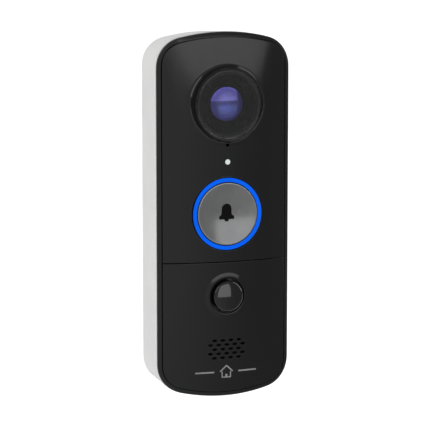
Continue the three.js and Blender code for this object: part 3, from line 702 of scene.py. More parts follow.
# %% [markdown]
# ## White shell
# The back half is moulded white plastic with a fine spark-eroded grain that softens its shine. The
# colour drifts very slightly, and its front lip and back edge are rubbed a little greyer, which
# keeps the plastic from looking like plain paint.

# %% Shell plastic
def shell_plastic():
    """White plastic with a fine grain, greyer where a lip or an edge is rubbed."""
    p = Paint("shell_plastic")
    here = p.place()
    grain = p.noise(here, 3.0, 4, 0.6)
    drift = p.noise(here, 0.05, 2)
    rub = p.noise(here, 0.5, 3)
    depth = p.split(here)[1]
    lip = depth.step(SHELL_FRONT / MM + 0.5, SHELL_FRONT / MM + 0.1)
    heel = depth.step(SHELL_BACK / MM - 1.2, SHELL_BACK / MM - 0.2)
    wear = (lip + heel).do("MINIMUM", 1.0) * rub.step(0.42, 0.62)
    colour = p.mix(drift.step(0.35, 0.65), (0.84, 0.84, 0.835), (0.88, 0.88, 0.87))
    p.set(Base_Color=p.mix(wear * 0.15, colour, (0.60, 0.59, 0.57)))
    p.set(Roughness=0.36 + 0.12 * grain + 0.1 * wear, Specular_IOR_Level=0.5)
    p.bump(grain, 0.25, 0.012)
    return p.material


SHELL_PLASTIC = shell_plastic()


# %% [markdown]
# ## Black glossy plastic
# The frame, the two face panels, the lens surround and the sensor dome are polished black plastic.
# A polished black is almost only its reflection, so the detail is in the gloss: faint wipe marks
# change the roughness, a slow ripple bends the reflection, and tiny dust specks lie on top.

# %% Gloss plastics
def gloss_plastic(name, roughness, ripple=0.004, dust=0.3, edges=()):
    """Polished plastic. Each edge is (x, z, radius) and gets a paler rubbed line there."""
    p = Paint(name)
    here = p.place()
    drawn_out = {"Vector": here, "Scale": (0.12, 0.12, 0.03), "Rotation": (0, 0.5, 0)}
    wipes = p.node("ShaderNodeMapping", {}, drawn_out)
    wipe = p.noise(wipes, 1.0, 4, 0.6)
    slow = p.noise(here, 0.08, 1)
    speck = p.node("ShaderNodeTexVoronoi", {}, {"Vector": here, "Scale": 0.45})
    specks = speck.step(0.06, 0.03) * p.noise(here, 0.3, 2).step(0.5, 0.6) * dust
    rubbed = p.noise(here, 0.8, 3).step(0.45, 0.6)
    x, _, z = p.split(here)
    lines = []
    for edge_x, edge_z, radius in edges:
        away = ((x - edge_x) ** 2.0 + (z - edge_z) ** 2.0).do("SQRT")
        lines.append((away - radius).do("ABSOLUTE").step(0.35, 0.1))
    worn = sum(lines).do("MINIMUM", 1.0) * rubbed if lines else 0.0
    black = p.mix(slow, (0.0075, 0.0077, 0.0082), (0.0095, 0.0095, 0.0100))
    colour = p.mix(worn * 0.25, black, (0.035, 0.035, 0.036))
    p.set(Base_Color=p.mix(specks * 0.5, colour, (0.20, 0.19, 0.18)))
    p.set(Roughness=roughness + 0.05 * wipe.step(0.3, 0.8) + 0.3 * specks + 0.1 * worn)
    p.set(Specular_IOR_Level=0.55)
    p.bump(slow + 0.05 * wipe, 0.5, ripple)
    return p.material


face_edges = [(0, LENS_Z, 13.9), (0, BUTTON_Z, 13.4)]
FACE_GLOSS = gloss_plastic("face_gloss", 0.10, edges=face_edges)
FRAME_GLOSS = gloss_plastic("frame_gloss", 0.12)
BEZEL_GLOSS = gloss_plastic("bezel_gloss", 0.08, edges=[(0, LENS_Z, 12.7)])
DOME_GLOSS = gloss_plastic("dome_gloss", 0.05, ripple=0.002, dust=0.2)


# %% [markdown]
# ## Metals, rubber and matte plastic
# These share one recipe: a base colour that drifts, a grain that sets both bump and roughness, and
# small marks. Only the numbers differ, so one function makes them all.

# %% Simple finishes
def finish(name, dark, pale, metallic, roughness, grain_scale, grain_depth, stretch=(1, 1, 1), shine=0.5):
    """Two colours mixed by slow noise, and a fine grain, stretched along an axis for brushing."""
    p = Paint(name)
    here = p.place()
    grained = p.node("ShaderNodeMapping", {}, {"Vector": here, "Scale": stretch})
    grain = p.noise(grained, grain_scale, 4, 0.6)
    drift = p.noise(here, 0.25, 3)
    mark = p.noise(here, 1.3, 4, 0.7).step(0.64, 0.76)
    colour = p.mix(drift.step(0.3, 0.7), dark, pale)
    faded = tuple(0.85 * c + 0.04 for c in pale)
    p.set(Base_Color=p.mix(mark * 0.2, colour, faded), Metallic=metallic, Specular_IOR_Level=shine)
    p.set(Roughness=roughness + 0.18 * (grain - 0.5) + 0.12 * mark)
    p.bump(grain, 0.4, grain_depth)
    return p.material


MATTE_BLACK = finish(
    "matte_black_plastic", (0.014, 0.014, 0.015), (0.018, 0.018, 0.019), 0.0, 0.5, 5.0, 0.012
)
SOFT_RUBBER = finish("black_rubber", (0.012, 0.012, 0.012), (0.026, 0.026, 0.026), 0.0, 0.75, 6.0, 0.02)
STEEL = finish("plated_steel", (0.48, 0.48, 0.47), (0.62, 0.62, 0.60), 1.0, 0.32, 8.0, 0.004, (1, 1, 6))
GOLD = finish("gold_plating", (0.80, 0.52, 0.18), (0.95, 0.68, 0.28), 1.0, 0.28, 9.0, 0.003)
CHIP = finish("chip_resin", (0.010, 0.010, 0.011), (0.020, 0.020, 0.022), 0.0, 0.48, 12.0, 0.006)
WRAP = finish("cell_foil", (0.50, 0.52, 0.55), (0.66, 0.68, 0.70), 1.0, 0.38, 1.2, 0.04)


# %% [markdown]
# ## Circuit board, glass and lights
# A board is green lacquer over copper tracks, which a coarse brick pattern suggests at this size.
# The window is tinted clear plastic, and the lens behind it has a violet coating that fades to blue
# at its rim. The two lights glow, their brightness varying gently round them.

# %% Board
def board_lacquer():
    """Green lacquer over brick-like tracks, with gold pads."""
    p = Paint("board_lacquer")
    here = p.place()
    turned_here = p.node("ShaderNodeMapping", {}, {"Vector": here, "Rotation": (math.pi / 2, 0, 0)})
    bricks = {"Vector": turned_here, "Scale": 0.55, "Mortar Size": 0.05}
    tracks = p.node("ShaderNodeTexBrick", {}, bricks, "Fac")
    pads = p.node("ShaderNodeTexVoronoi", {}, {"Vector": here, "Scale": 0.6}).step(0.16, 0.12)
    drift = p.noise(here, 0.2, 2)
    green = p.mix(drift, (0.010, 0.075, 0.030), (0.016, 0.105, 0.045))
    traced = p.mix(tracks * 0.8, green, (0.035, 0.20, 0.07))
    p.set(Base_Color=p.mix(pads, traced, (0.75, 0.62, 0.35)), Metallic=pads)
    p.set(Roughness=0.30 + 0.15 * drift)
    p.bump(tracks + pads, 0.5, 0.03)
    return p.material


BOARD = board_lacquer()


# %% Glass
def window_tint():
    """Clear plastic that a faint smear makes rougher in places."""
    p = Paint("window_tint")
    here = p.place(middle("lens_window"))
    smear = p.noise(here, 0.25, 4, 0.6)
    p.set(Base_Color=p.mix(smear, (0.80, 0.81, 0.83), (0.85, 0.86, 0.87)))
    p.set(Roughness=0.012 + 0.03 * smear.step(0.5, 0.8))
    p.set(Transmission_Weight=1.0, IOR=1.49)
    p.bump(smear, 0.1, 0.002)
    return p.material


def lens_coating(name, inner, outer, roughness, clear):
    """A coated element: one colour at its middle and another at its rim, by distance from the axis."""
    p = Paint(name)
    here = p.place(middle("lens_window"))
    x, _, z = p.split(here)
    away = (x**2.0 + z**2.0).do("SQRT")
    haze = p.noise(here, 0.8, 3)
    colour = p.mix(away.step(1.5, 6.0), inner, outer)
    p.set(Base_Color=p.mix(haze * 0.2, colour, (0.6, 0.6, 0.9)), Metallic=1.0)
    p.set(Roughness=roughness + 0.04 * haze)
    p.set(Alpha=away.step(4.6, 6.0, clear, 0.9))
    p.bump(haze, 0.1, 0.003)
    return p.material


WINDOW_TINT = window_tint()
FRONT_COATING = lens_coating("front_coating", (0.36, 0.32, 0.95), (0.07, 0.05, 0.40), 0.06, 0.42)
INNER_COATING = lens_coating("inner_coating", (0.30, 0.50, 1.00), (0.16, 0.18, 0.85), 0.05, 1.0)


# %% Lights
def glow_plastic(name, colour, centre, mottle, front):
    """A lit diffuser. Only its front glows, because its sides are wrapped in opaque plastic, and
    the glow varies gently round it, with a fine frosted bump."""
    p = Paint(name)
    here = p.place(centre)
    depth = p.split(p.place())[1]
    frost = p.noise(here, 6.0, 3)
    wash = p.noise(here, 0.12, 2)
    lit = p.mix(wash.step(0.3, 0.7) * mottle, colour, tuple(min(1.0, c * 1.2) for c in colour))
    lit = p.mix(depth.step(front + 0.05, front + 0.2), lit, (0, 0, 0))
    p.set(Base_Color=p.mix(frost, tuple(0.10 * c for c in colour), tuple(0.14 * c for c in colour)))
    p.set(Emission_Color=lit, Emission_Strength=1.0, Roughness=0.6 + 0.1 * frost)
    p.set(Specular_IOR_Level=0.1)
    p.bump(frost, 0.2, 0.01)
    return p.material


RING_GLOW = glow_plastic("ring_glow", (0.0005, 0.106, 0.790), middle("light_ring"), 0.5, -27.15)
STATUS_GLOW = glow_plastic("status_glow", (0.62, 0.67, 0.65), middle("status_lens"), 0.2, -27.4)


# %% [markdown]
# ## Satin cap
# The push button is a shallow metal-looking dish. Its surface is spun, so very fine rings run round
# the middle: a sine of the distance from the axis gives them, and they stretch the reflection.

# %% Satin metal
def satin_metal():
    """A spun surface: a sine of the distance from the axis makes its fine rings."""
    p = Paint("satin_cap")
    here = p.place(middle("button_cap"))
    x, _, z = p.split(here)
    away = (x**2.0 + z**2.0).do("SQRT")
    wander = p.noise(here, 0.6, 3)
    rings = (away * 34.0 + wander * 3.0).do("SINE")
    drift = p.noise(here, 0.15, 2)
    fingered = p.noise(here, 0.35, 4, 0.65).step(0.52, 0.75)
    colour = p.mix(drift.step(0.3, 0.7), (0.245, 0.248, 0.252), (0.275, 0.277, 0.280))
    rim = away.step(10.55, 10.9)
    p.set(Base_Color=p.mix(rim * 0.5, colour, (0.42, 0.42, 0.43)), Metallic=0.35)
    p.set(Roughness=0.17 + 0.03 * rings + 0.10 * fingered)
    p.bump(rings, 0.15, 0.002)
    return p.material


SATIN_METAL = satin_metal()
print("materials:", len(bpy.data.materials))

# %% [markdown]
# ## Shell piece
# The shell is one cup: a profile that starts on the back, turns the heel with a soft radius, runs up
# the slightly drafted side, folds over the lip and comes back down inside. Screw towers are joined
# on, then keyholes, screw seats and the socket recess are cut, as a mould would form them.

# %% Shell
shell_profile = [
    [18, -3.0, 0],
    [12, -3.0, 0],
    [6, -3.0, 0],
    [2.6, -3.0, 0],
    [0.62, -3.0, 1.7],
    [0.58, -6.2, 0],
    [0.0, -22.0, 0.18],
    [0.9, -22.0, 0.14],
    [0.9, -18.6, 0],
    [2.2, -18.6, 0],
    [2.6, -4.8, 0.8],
    [8, -4.8, 0],
    [14, -4.8, 0],
    [18, -4.8, 0],
]
shell = swept("shell", shell_profile)
HOOK_X, HOOK_ZS = 12, (-40, 54)
SECURITY_Y = middle("security_screw").y / MM
FLAP_HINGE_Y, FLAP_HINGE_Z = -10, -64.6
towers = [rod(x, z, 3.2, -18.3, -4) for x, z in SCREW_PLACES]
towers += [rod(side * 19.6, z, 1.7, -16.6, -4, 24) for side in (-1, 1) for z in (-34, 22)]
towers += [rod(side * 7, z, 1.3, -12.3, -4, 24) for side in (-1, 1) for z in (33, 47)]
towers += [rod(side * 4.2, -40, 1.2, -10, -4, 24) for side in (-1, 1)]
carve(shell, [merged(towers)], "UNION")
walls_by_port = [block(-6.8, 6.8, -9.2, -3.5, -64.2, -57.9), block(-8.2, 8.2, -17.5, -8.4, -64.2, -62.2)]
carve(shell, walls_by_port, "UNION")
seats = [sunk(oval(x, z, 2.5, 2.5), -3, -9, 0.3) for x, z in SCREW_PLACES]
seats += [sunk(keyhole_shape(side * HOOK_X, z), -3, -6, 0.25) for side in (-1, 1) for z in HOOK_ZS]
seats += [sunk(oval(side * 5, -48, 2.7, 2.7), -3, -6, 0.25) for side in (-1, 1)]
seats += [sunk(oval(0, -41, 1.8, 1.8), -3, -6, 0.25)]
carve(shell, [merged(seats)])
carve(shell, [merged([rod(x, z, 1.4, -20, -8, 24) for x, z in SCREW_PLACES])])
carve(shell, [block(-5.3, 5.3, -7.7, 0, -70, -62.6), block(-6.6, 6.6, -16.3, -9.0, -70, -63.7)])
carve(shell, [block(-4.8, 4.8, -14.9, -11.1, -66, -60)])
carve(shell, [prism("hole", oval(0, SECURITY_Y, 1.3, 1.3, 32), -66, -58.4, "z")])
dress(shell, "doorbell", SHELL_PLASTIC, ["rear_housing"])

# %% [markdown]
# ## Front frame
# The frame is a rim that runs all round between the shell and the face, sloping forward with the
# bow, and a bowed carrier sheet behind the face panels. The rim is a section swept round the
# outline, and the carrier is joined to it before the holes for the modules are cut.

# %% Front frame
def rim_edge_row(inset):
    """The rim's outer edge follows nine tenths of the bow, so the slope stays even all round."""
    edge = outline(inset * MM)
    y = FACE_EDGE + 0.3 * MM + 0.9 * (face_y(edge[:, 0], edge[:, 1]) - FACE_EDGE)
    return np.stack([edge[:, 0], y, edge[:, 1]], 1) / MM


rim_rows = [
    ring_row(0.1, -22.3),
    rim_edge_row(0.1),
    ring_row(1.6, (0,)),
    ring_row(1.6, (1.7,)),
    ring_row(3.2, (1.7,)),
    ring_row(3.2, (3.2,)),
    ring_row(2.4, -20.2),
    ring_row(1.2, -20.2),
    ring_row(1.2, -22.3),
]
frame_rim = skin("front_rim", soften(rim_rows, [0.08, 0.4, 0.22, 0, 0, 0, 0, 0, 0]), loop=True)
bosses = merged([rod(x, z, 3.0, -22.5, -18.7) for x, z in SCREW_PLACES])
carve(frame_rim, [face_sheet("carrier", 3.0, 1.8, 3.1, edge=0.05), bosses], "UNION")
module_holes = [
    rod(0, LENS_Z, 13.7, *THROUGH, 96),
    rod(0, BUTTON_Z, 13.2, *THROUGH, 96),
    rod(0, PIR_Z, 5.85, *THROUGH, 64),
    rod(0, STATUS_Z, 1.3, *THROUGH, 32),
    prism("hole", soft_box(0, SPEAKER_Z, 8.7, 5.1, 2), *THROUGH),
]
carve(frame_rim, [merged(module_holes), merged([rod(x, z, 1.4, -21.8, -15, 24) for x, z in SCREW_PLACES])])
carve(frame_rim, [rod(0, MIC_Z, 0.9, *THROUGH, 24)])
dress(frame_rim, "doorbell", FRAME_GLOSS, ["front_frame"])

# %% [markdown]
# ## Face panels
# Two bowed panels meet at a thin seam below the button. Both start as the same sheet, and each is
# cut off at the seam by a slab that follows the bow, so both lips of the seam are slightly rounded
# and catch a line of light. The microphone hole goes through the upper panel and the surround.

# %% Upper panel
def seam_cutter(z, away):
    """A slab from z to far away in the direction away, whose lip by the face is rounded."""
    x = np.linspace(-30, 30, 61)
    flare = 0.16
    turn = np.linspace(0, np.pi / 2, 4)
    low = [z, *(z - away * flare * (1 - np.sin(turn)))[::-1], z - away * flare]
    deep = [4, *(flare * (1 - np.cos(turn)))[::-1], -1]
    rows_z = np.array([*low, z + away * 150, z + away * 150])
    offsets = np.array([*deep, -1, 4])
    clipped = np.clip(rows_z, -70, 70)
    y = bow(x[:, None], clipped[None, :]) + offsets
    points = np.stack([np.broadcast_to(x[:, None], y.shape), y, np.broadcast_to(rows_z, y.shape)], -1)
    return skin("seam", points)


MIC_HOLE = oval(0, MIC_Z, 0.62, 0.6, 32)
upper_panel = face_sheet("upper_panel", PANEL_INSET, 0, PANEL_THICKNESS)
carve(upper_panel, [seam_cutter(SEAM_Z + SEAM_HALF, -1)])
upper_bores = [
    face_bore(oval(0, LENS_Z, 13.7, 13.7, 128), 4, 0.15),
    face_bore(oval(0, BUTTON_Z, 13.1, 13.1, 128), 4, 0.10),
    face_bore(oval(0, STATUS_Z, 1.25, 1.25, 48), 4, 0.10),
]
carve(upper_panel, [merged(upper_bores), face_bore(MIC_HOLE, 4, 0.15)])
bow_normals(upper_panel)
dress(upper_panel, "doorbell", FACE_GLOSS, ["upper_fascia"])

# %% [markdown]
# ## Lower panel
# The lower panel has the speaker holes, in rows of four and five, and a low soft swell round the
# sensor. The swell is a ring of points laid on the bow and raised by a few tenths of a millimetre.

# %% Lower panel
def face_ring(radius, height, z):
    """A circle of points round (0, z), laid on the face and raised by the height."""
    a = np.linspace(0, 2 * np.pi, ROUND, endpoint=False)
    x, up = radius * np.cos(a), z + radius * np.sin(a)
    return np.stack([x, bow(x, up) - height, up], 1)


HOLE_PITCH_X, HOLE_PITCH_Z = 3.05, 1.61
lower_panel = face_sheet("lower_panel", PANEL_INSET, 0, PANEL_THICKNESS)
carve(lower_panel, [seam_cutter(SEAM_Z - SEAM_HALF, 1)])
grille_holes = []
for row, count in enumerate([4, 5, 4, 5, 4]):
    hole_z = SPEAKER_Z + (2 - row) * HOLE_PITCH_Z
    for i in range(count):
        hole_x = (i - (count - 1) / 2) * HOLE_PITCH_X
        grille_holes.append(face_bore(oval(hole_x, hole_z, 0.95, 0.5, 28), 4, 0.10))
swell = [[8.7, -0.9], [8.6, -0.05], [8.3, 0.02], [7.9, 0.10], [7.5, 0.19], [7.15, 0.26]]
swell += [[6.85, 0.28], [6.6, 0.24], [6.42, 0.12], [6.34, -0.05], [6.3, -0.9]]
carve(lower_panel, [skin("swell", [face_ring(r, h, PIR_Z) for r, h in swell], loop=True)], "UNION")
carve(lower_panel, [merged(grille_holes), rod(0, PIR_Z, 6.3, *THROUGH, 128)])
bow_normals(lower_panel)
dress(lower_panel, "doorbell", FACE_GLOSS, ["lower_fascia"])

# %% [markdown]
# ## Lens surround
# The surround stands proud of the face like a low turret. Its foot flares into the bowed face, so
# the foot's rows follow the face's formula while its rim stays flat and round.

# %% Lens surround
def lens_surround():
    """Rows of [radius, height]: the foot's heights are above the face, the others are depths."""
    turn = np.linspace(0, np.pi / 2, 9)
    foot = [(13.5, 0.01), (14.6, 0.01)]
    foot += [(13.35 + 1.25 * (1 - math.sin(t)), 0.02 + 1.2 * (1 - math.cos(t))) for t in turn]
    rows = [face_ring(radius, height, LENS_Z) for radius, height in foot]
    a = np.linspace(0, 2 * np.pi, ROUND, endpoint=False)
    corners = [
        [12.98, -30.0, 0.5],
        [12.2, -30.0, 0.3],
        [12.2, -28.0, 0],
        [10.9, -28.0, 0],
        [10.9, -27.3, 0],
        [12.2, -27.3, 0],
        [12.2, -20.8, 0],
        [15.0, -20.8, 0],
        [15.0, -21.8, 0],
        [13.4, -21.8, 0],
    ]
    section = soften(np.array(corners)[:, :2], [c[2] for c in corners], closed=False)
    for radius, depth in section:
        rows.append(np.stack([radius * np.cos(a), np.full(ROUND, depth), LENS_Z + radius * np.sin(a)], 1))
    return skin("lens_surround", rows, loop=True)


surround = lens_surround()
carve(surround, [face_bore(MIC_HOLE, 3.5, 0.15)])
dress(surround, "doorbell", BEZEL_GLOSS, ["lens_bezel"])

# %% [markdown]
# ## Lens behind its window
# A flat tinted window covers a black shroud, the lens barrel and the coated front element. The
# front element is a shallow dome, half see-through, over a hollow inner element, and these two
# curve opposite ways, so they mirror the studio once the right way up and once upside down.

# %% Window, shroud and lens
window_corners = [[0, -28.3, 0], [12.1, -28.3, 0.1], [12.1, -29.5, 0.3], [0, -29.5, 0]]
window = turned("lens_window_glass", 0, LENS_Z, window_corners)
dress(window, "doorbell", WINDOW_TINT, ["lens_window"])

shroud_corners = [[7.6, -25.1, 0], [7.6, -25.9, 0.2], [11.7, -25.9, 0.1], [11.7, -25.1, 0]]
shroud = turned("lens_shroud_plate", 0, LENS_Z, shroud_corners)
carve(shroud, [merged([rod(x, z, 1.7, -27, -24, 32) for x, z in LED_PLACES])])
LENS_BLACK = finish(
    "lens_black", (0.004, 0.004, 0.004), (0.008, 0.008, 0.008), 0.0, 0.7, 5.0, 0.01, shine=0.08
)
dress(shroud, "doorbell", LENS_BLACK, ["lens_shroud"])

barrel_corners = [
    [6.25, -26.0, 0.1],
    [6.6, -26.2, 0.1],
    [7.2, -26.2, 0.15],
    [7.2, -23.6, 0],
    [6.0, -23.6, 0],
    [6.0, -16.0, 0],
    [4.6, -16.0, 0],
    [4.6, -24.2, 0],
    [6.25, -24.2, 0],
]
barrel = turned("lens_barrel_tube", 0, LENS_Z, barrel_corners, 96)
dress(barrel, "doorbell", LENS_BLACK, ["lens_barrel"])


def cap_points(radius, edge, rise):
    """A shallow parabola from rim to axis: depth is the edge's less rise times 1 - (r/R) squared."""
    r = radius * np.cos(np.linspace(0, np.pi / 2, 24))
    return [[a, edge - rise * (1 - (a / radius) ** 2), 0] for a in r.clip(0)]


front_corners = [[0, -25.3, 0], [6.0, -25.3, 0], *cap_points(6.0, -25.7, 0.75)]
front_element = turned("lens_front_dome", 0, LENS_Z, front_corners, 96)
dress(front_element, "doorbell", FRONT_COATING, ["lens_front_element"])
bowl_corners = [[0, -22.4, 0], [4.3, -22.4, 0], [4.3, -24.4, 0], [6.0, -24.4, 0]]
bowl_corners += cap_points(6.0, -25.2, -1.1)
bowl = turned("lens_inner_bowl", 0, LENS_Z, bowl_corners, 96)
dress(bowl, "doorbell", INNER_COATING)

# %% [markdown]
# ## Button, light ring and bell
# The ring is a clear diffuser that glows, the cap is a shallow dish inside it, and the bell is a thin
# print. The print is a real sheet a few hundredths of a millimetre thick: its width is a function of
# its height, and every point is laid on the dish's formula.

# %% Ring and cap
CAP_RIM_Y, CAP_DISH = -27.4, 1.35
ring_corners = [
    [11.47, -22.3, 0],
    [11.47, -27.15, 0.12],
    [12.9, -27.15, 0.2],
    [12.9, -22.4, 0],
    [14.6, -22.4, 0],
    [14.6, -21.5, 0],
    [13.1, -21.5, 0],
    [13.1, -22.3, 0],
]
ring = turned("light_ring_diffuser", 0, BUTTON_Z, ring_corners, ROUND)
dress(ring, "doorbell", RING_GLOW, ["light_ring"])


def dish_y(radius):
    """The dish: deepest on the axis, and rising with the square of the radius to its rim."""
    return CAP_RIM_Y + CAP_DISH * (1 - (radius / 10.6) ** 2)


dish = [[r, dish_y(r), 0] for r in np.linspace(10.55, 0, 24)]
cap_corners = [
    [0, -24.6, 0],
    [2.0, -24.6, 0],
    [2.0, -25.6, 0],
    [9.8, -25.6, 0],
    [9.8, -24.4, 0],
    [11.15, -24.4, 0.1],
    [11.15, -27.42, 0.22],
    [10.75, -27.45, 0.12],
    *dish,
]
cap = turned("call_button", 0, BUTTON_Z, cap_corners, ROUND)
dress(cap, "button", SATIN_METAL, ["button_cap"])


# %% Bell print
def bell_print(centre_z):
    """Rows from the crown down: half the width at each height, mirrored, laid on the dish."""
    turn = np.linspace(0.01, np.pi / 2, 12)
    crown = np.stack([1.41 + 1.84 * np.cos(turn), 1.84 * np.sin(turn)], 1)
    skirt = [[0, 1.86], [-0.4, 1.93], [-0.7, 2.05], [-0.95, 2.3], [-1.1, 2.55], [-1.2, 2.74]]
    base = [[-1.35, 2.82], [-2.2, 2.82], [-2.34, 2.74]]
    clapper = [[-2.36, 0.86], [-2.7, 0.8], [-2.95, 0.62], [-3.1, 0.38], [-3.2, 0.04]]
    h, w = np.concatenate([crown, skirt, base, clapper]).T[..., None]
    u = np.linspace(-1, 1, 15)
    x = np.concatenate([w * u, w * u[::-1]], 1)
    z = np.broadcast_to(h, x.shape)
    lift = np.concatenate([np.full(15, 0.035), np.full(15, -0.03)])
    y = dish_y(np.hypot(x, z + centre_z - BUTTON_Z)) - lift
    return skin("bell_print", np.stack([x, y, z + centre_z], -1))


PRINT_BLACK = finish(
    "print_black", (0.004, 0.004, 0.004), (0.006, 0.006, 0.006), 0.0, 0.85, 7.0, 0.003, shine=0.15
)
bell = bell_print(BUTTON_Z + 0.35)
dress(bell, "button", PRINT_BLACK)

# %% [markdown]
# ## Small lights and the sensor dome
# The status light is a short clear pin, and the motion sensor looks through a polished dome with a
# rounded shoulder. Both are turned shapes.

# %% Status light and dome
status_corners = [
    [0, -19.5, 0],
    [1.0, -19.5, 0],
    [1.0, -22.8, 0],
    [2.0, -22.8, 0],
    [2.0, -23.5, 0],
    [1.0, -23.5, 0],
    [1.0, -27.35, 0.25],
    [0, -27.45, 0],
]
status = turned("status_light_pin", 0, STATUS_Z, status_corners, 48)
dress(status, "doorbell", STATUS_GLOW, ["status_lens"])

dome_turn = np.linspace(0, np.pi / 2, 20)[1:]
outside = [[5.5 * math.cos(t), -28.2 - 1.6 * math.sin(t), 0] for t in dome_turn]
inside = [[4.7 * math.cos(t), -28.2 - 0.8 * math.sin(t), 0] for t in dome_turn[::-1]]
dome_corners = [[4.7, -22.4, 0], [7.4, -22.4, 0], [7.4, -23.3, 0], [5.5, -23.3, 0], [5.5, -28.2, 0]]
dome = turned("sensor_dome", 0, PIR_Z, [*dome_corners, *outside, *inside, [4.7, -28.2, 0]], 128)
dress(dome, "doorbell", DOME_GLOSS, ["pir_lens"])

# %% [markdown]
# ## Printed mark
# A plain house outline stands between two short rules near the foot of the face. Each stroke is a
# path with a small four-cornered section, laid on the bow.

# %% Mark
MARK_Z = -56.4


def stroke(path, width):
    """A path offset to both sides by half the width, 0.03 mm proud of the face."""
    along = np.roll(path, -1, 0) - np.roll(path, 1, 0)
    along[0], along[-1] = path[1] - path[0], path[-1] - path[-2]
    along /= np.linalg.norm(along, axis=1, keepdims=True)
    side = np.stack([along[:, 1], -along[:, 0]], 1) * width / 2
    edges = np.stack([path + side, path - side, path - side, path + side], 1)
    y = bow(edges[..., 0], edges[..., 1]) + [-0.03, -0.03, 0.05, 0.05]
    return skin("stroke", np.stack([edges[..., 0], y, edges[..., 1]], -1), angle=20)


def polyline(corners):
    """Points along straight sides, about a quarter of a millimetre apart."""
    parts = []
    for start, end in zip(corners[:-1], corners[1:]):
        count = max(1, int(np.linalg.norm(end - start) / 0.25))
        parts.append(start + (end - start) * np.linspace(0, 1, count, endpoint=False)[:, None])
    return np.concatenate([*parts, corners[-1:]])


walls = [[-1.6, 0.1], [-1.6, -2.0], [1.6, -2.0], [1.6, 0.1]]
roof = [[-2.4, 0.05], [0, 2.3], [2.4, 0.05]]
door = [[0, -2.0], [0, -0.85]]
rules = [[[-11.6, 0], [-4.6, 0]], [[4.6, 0], [11.6, 0]]]
strokes = [(walls, 0.42), (roof, 0.48), (door, 0.8), *[(rule, 0.55) for rule in rules]]
mark = merged([stroke(polyline(np.array(p) + [0, MARK_Z]), w) for p, w in strokes])
mark.name = mark.data.name = "house_mark"
PRINT_GREY = finish("print_grey", (0.36, 0.36, 0.365), (0.46, 0.46, 0.46), 0.1, 0.45, 7.0, 0.003)
dress(mark, "doorbell", PRINT_GREY)

# %% [markdown]
# ## Wall plate
# The plate screws to the wall. It has two long screw holes with sunk seats, a window for wires, four
# headed hooks and a tab for the locking screw.

# %% Wall plate
plate_rows = [[4, 0, 0], [2.9, 0, 0], [2.6, -0.3, 0], [2.6, -2.3, 0]]
plate_rows += [[2.75, -2.6, 0], [3.1, -2.7, 0], [4, -2.7, 0]]
plate = swept("wall_plate", plate_rows)
hook_places = [(side * HOOK_X, z) for side in (-1, 1) for z in HOOK_ZS]
necks = merged([prism("neck", soft_box(x, z, 1.4, 1.5, 0.5), -5.4, -2) for x, z in hook_places])
carve(plate, [necks], "UNION")
head_corners = [[0, -5.1, 0], [2.7, -5.1, 0.2], [2.7, -6.4, 0.4], [0, -6.4, 0]]
heads = [turned("head", x, z, head_corners, 40) for x, z in hook_places]
carve(plate, [merged(heads)], "UNION")
tab = prism("tab", soft_box(0, -64.1, 5, 1.2, 0.4), -7.4, -1, rounding=0.2)
riser = prism("riser", soft_box(0, -62.65, 5, 2.65, 0.4), -2.7, 0)
carve(plate, [tab, riser], "UNION")


def screw_slot(z, half_width, half_height):
    """A long hole and, on the front, its wider sunk seat."""
    hole = prism("slot", soft_box(0, z, half_width, half_height, 1.85), -4, 1)
    seat = prism("seat", soft_box(0, z, half_width + 1.9, half_height + 1.9, 3.4), -5, -1.2)
    return [hole, seat]


for z, half_width, half_height in ((34, 4.5, 1.9), (-18, 1.9, 4.5)):
    carve(plate, screw_slot(z, half_width, half_height))
carve(plate, [prism("wires", soft_box(0, -46, 9, 11, 2.5), -4, 1)])
carve(plate, [prism("hole", oval(0, SECURITY_Y, 1.3, 1.3, 32), -67, -61, "z")])
carve(plate, [prism("seat", oval(0, SECURITY_Y, 2.0, 2.0, 32), -67, -64.1, "z")])
dress(plate, "mount", MATTE_BLACK, ["mounting_plate"])

# %% [markdown]
# ## Screws
# A screw is a turned shape with a ridged shank, and a cross or a slot is cut into its head.

# %% Screws
def screw(name, x, z, head, head_low, head_high, shank, tip, axis="y"):
    """The shank's radius swings with the pitch, up towards the head."""
    count = int(abs(head_low - tip) / 0.2)
    depths = np.linspace(tip, head_low, count)[1:-1]
    ridge = [[shank * (1.0 if i % 2 else 0.78), d, 0] for i, d in enumerate(depths)]
    top = [[head, head_low, 0], [head, head_high, 0.35], [0, head_high, 0]]
    section = [[0, tip, 0], [0.3 * shank, tip, 0], *ridge, *top]
    return turned(name, x, z, section, 48, axis=axis)


def cross(x, z, reach, low, high):
    """Two crossed bars that cut a cross recess."""
    half = reach / 2
    bars = [soft_box(x, z, half, reach / 6, 0.1, 2), soft_box(x, z, reach / 6, half, 0.1, 2)]
    return [prism("bar", bar, low, high) for bar in bars]


for i, (x, z) in enumerate(SCREW_PLACES, 1):
    case_screw = screw(f"case_screw_{i}", x, z, 2.1, -8.6, -6.9, 1.1, -21.4)
    carve(case_screw, cross(x, z, 2.6, -7.7, -6))
    dress(case_screw, "doorbell", STEEL, [f"housing_screw_{i}"])
for node, name in (("terminal_screw_left", "wire_screw_left"), ("terminal_screw_right", "wire_screw_right")):
    x, z = spot(node)
    wire_screw = screw(name, x, z, 2.3, -4.7, -3.3, 1.2, -8.1)
    carve(wire_screw, cross(x, z, 3.0, -4.0, -3))
    dress(wire_screw, "doorbell", GOLD, [node])
lock_screw = screw("locking_screw", 0, SECURITY_Y, 1.7, -64.4, -65.2, 1.0, -58.8, axis="z")
carve(lock_screw, [prism("slot", soft_box(0, SECURITY_Y, 1.2, 0.25, 0.1, 2), -67, -64.8, "z")])
dress(lock_screw, "mount", STEEL, ["security_screw"])

# %% [markdown]
# ## Charging socket, flap and reset button
# The socket is a steel tube with a tongue that carries gold contacts. The rubber flap over it swings
# on a thin barrel and has a plug that fills the opening. The reset button is a small rubber pin.

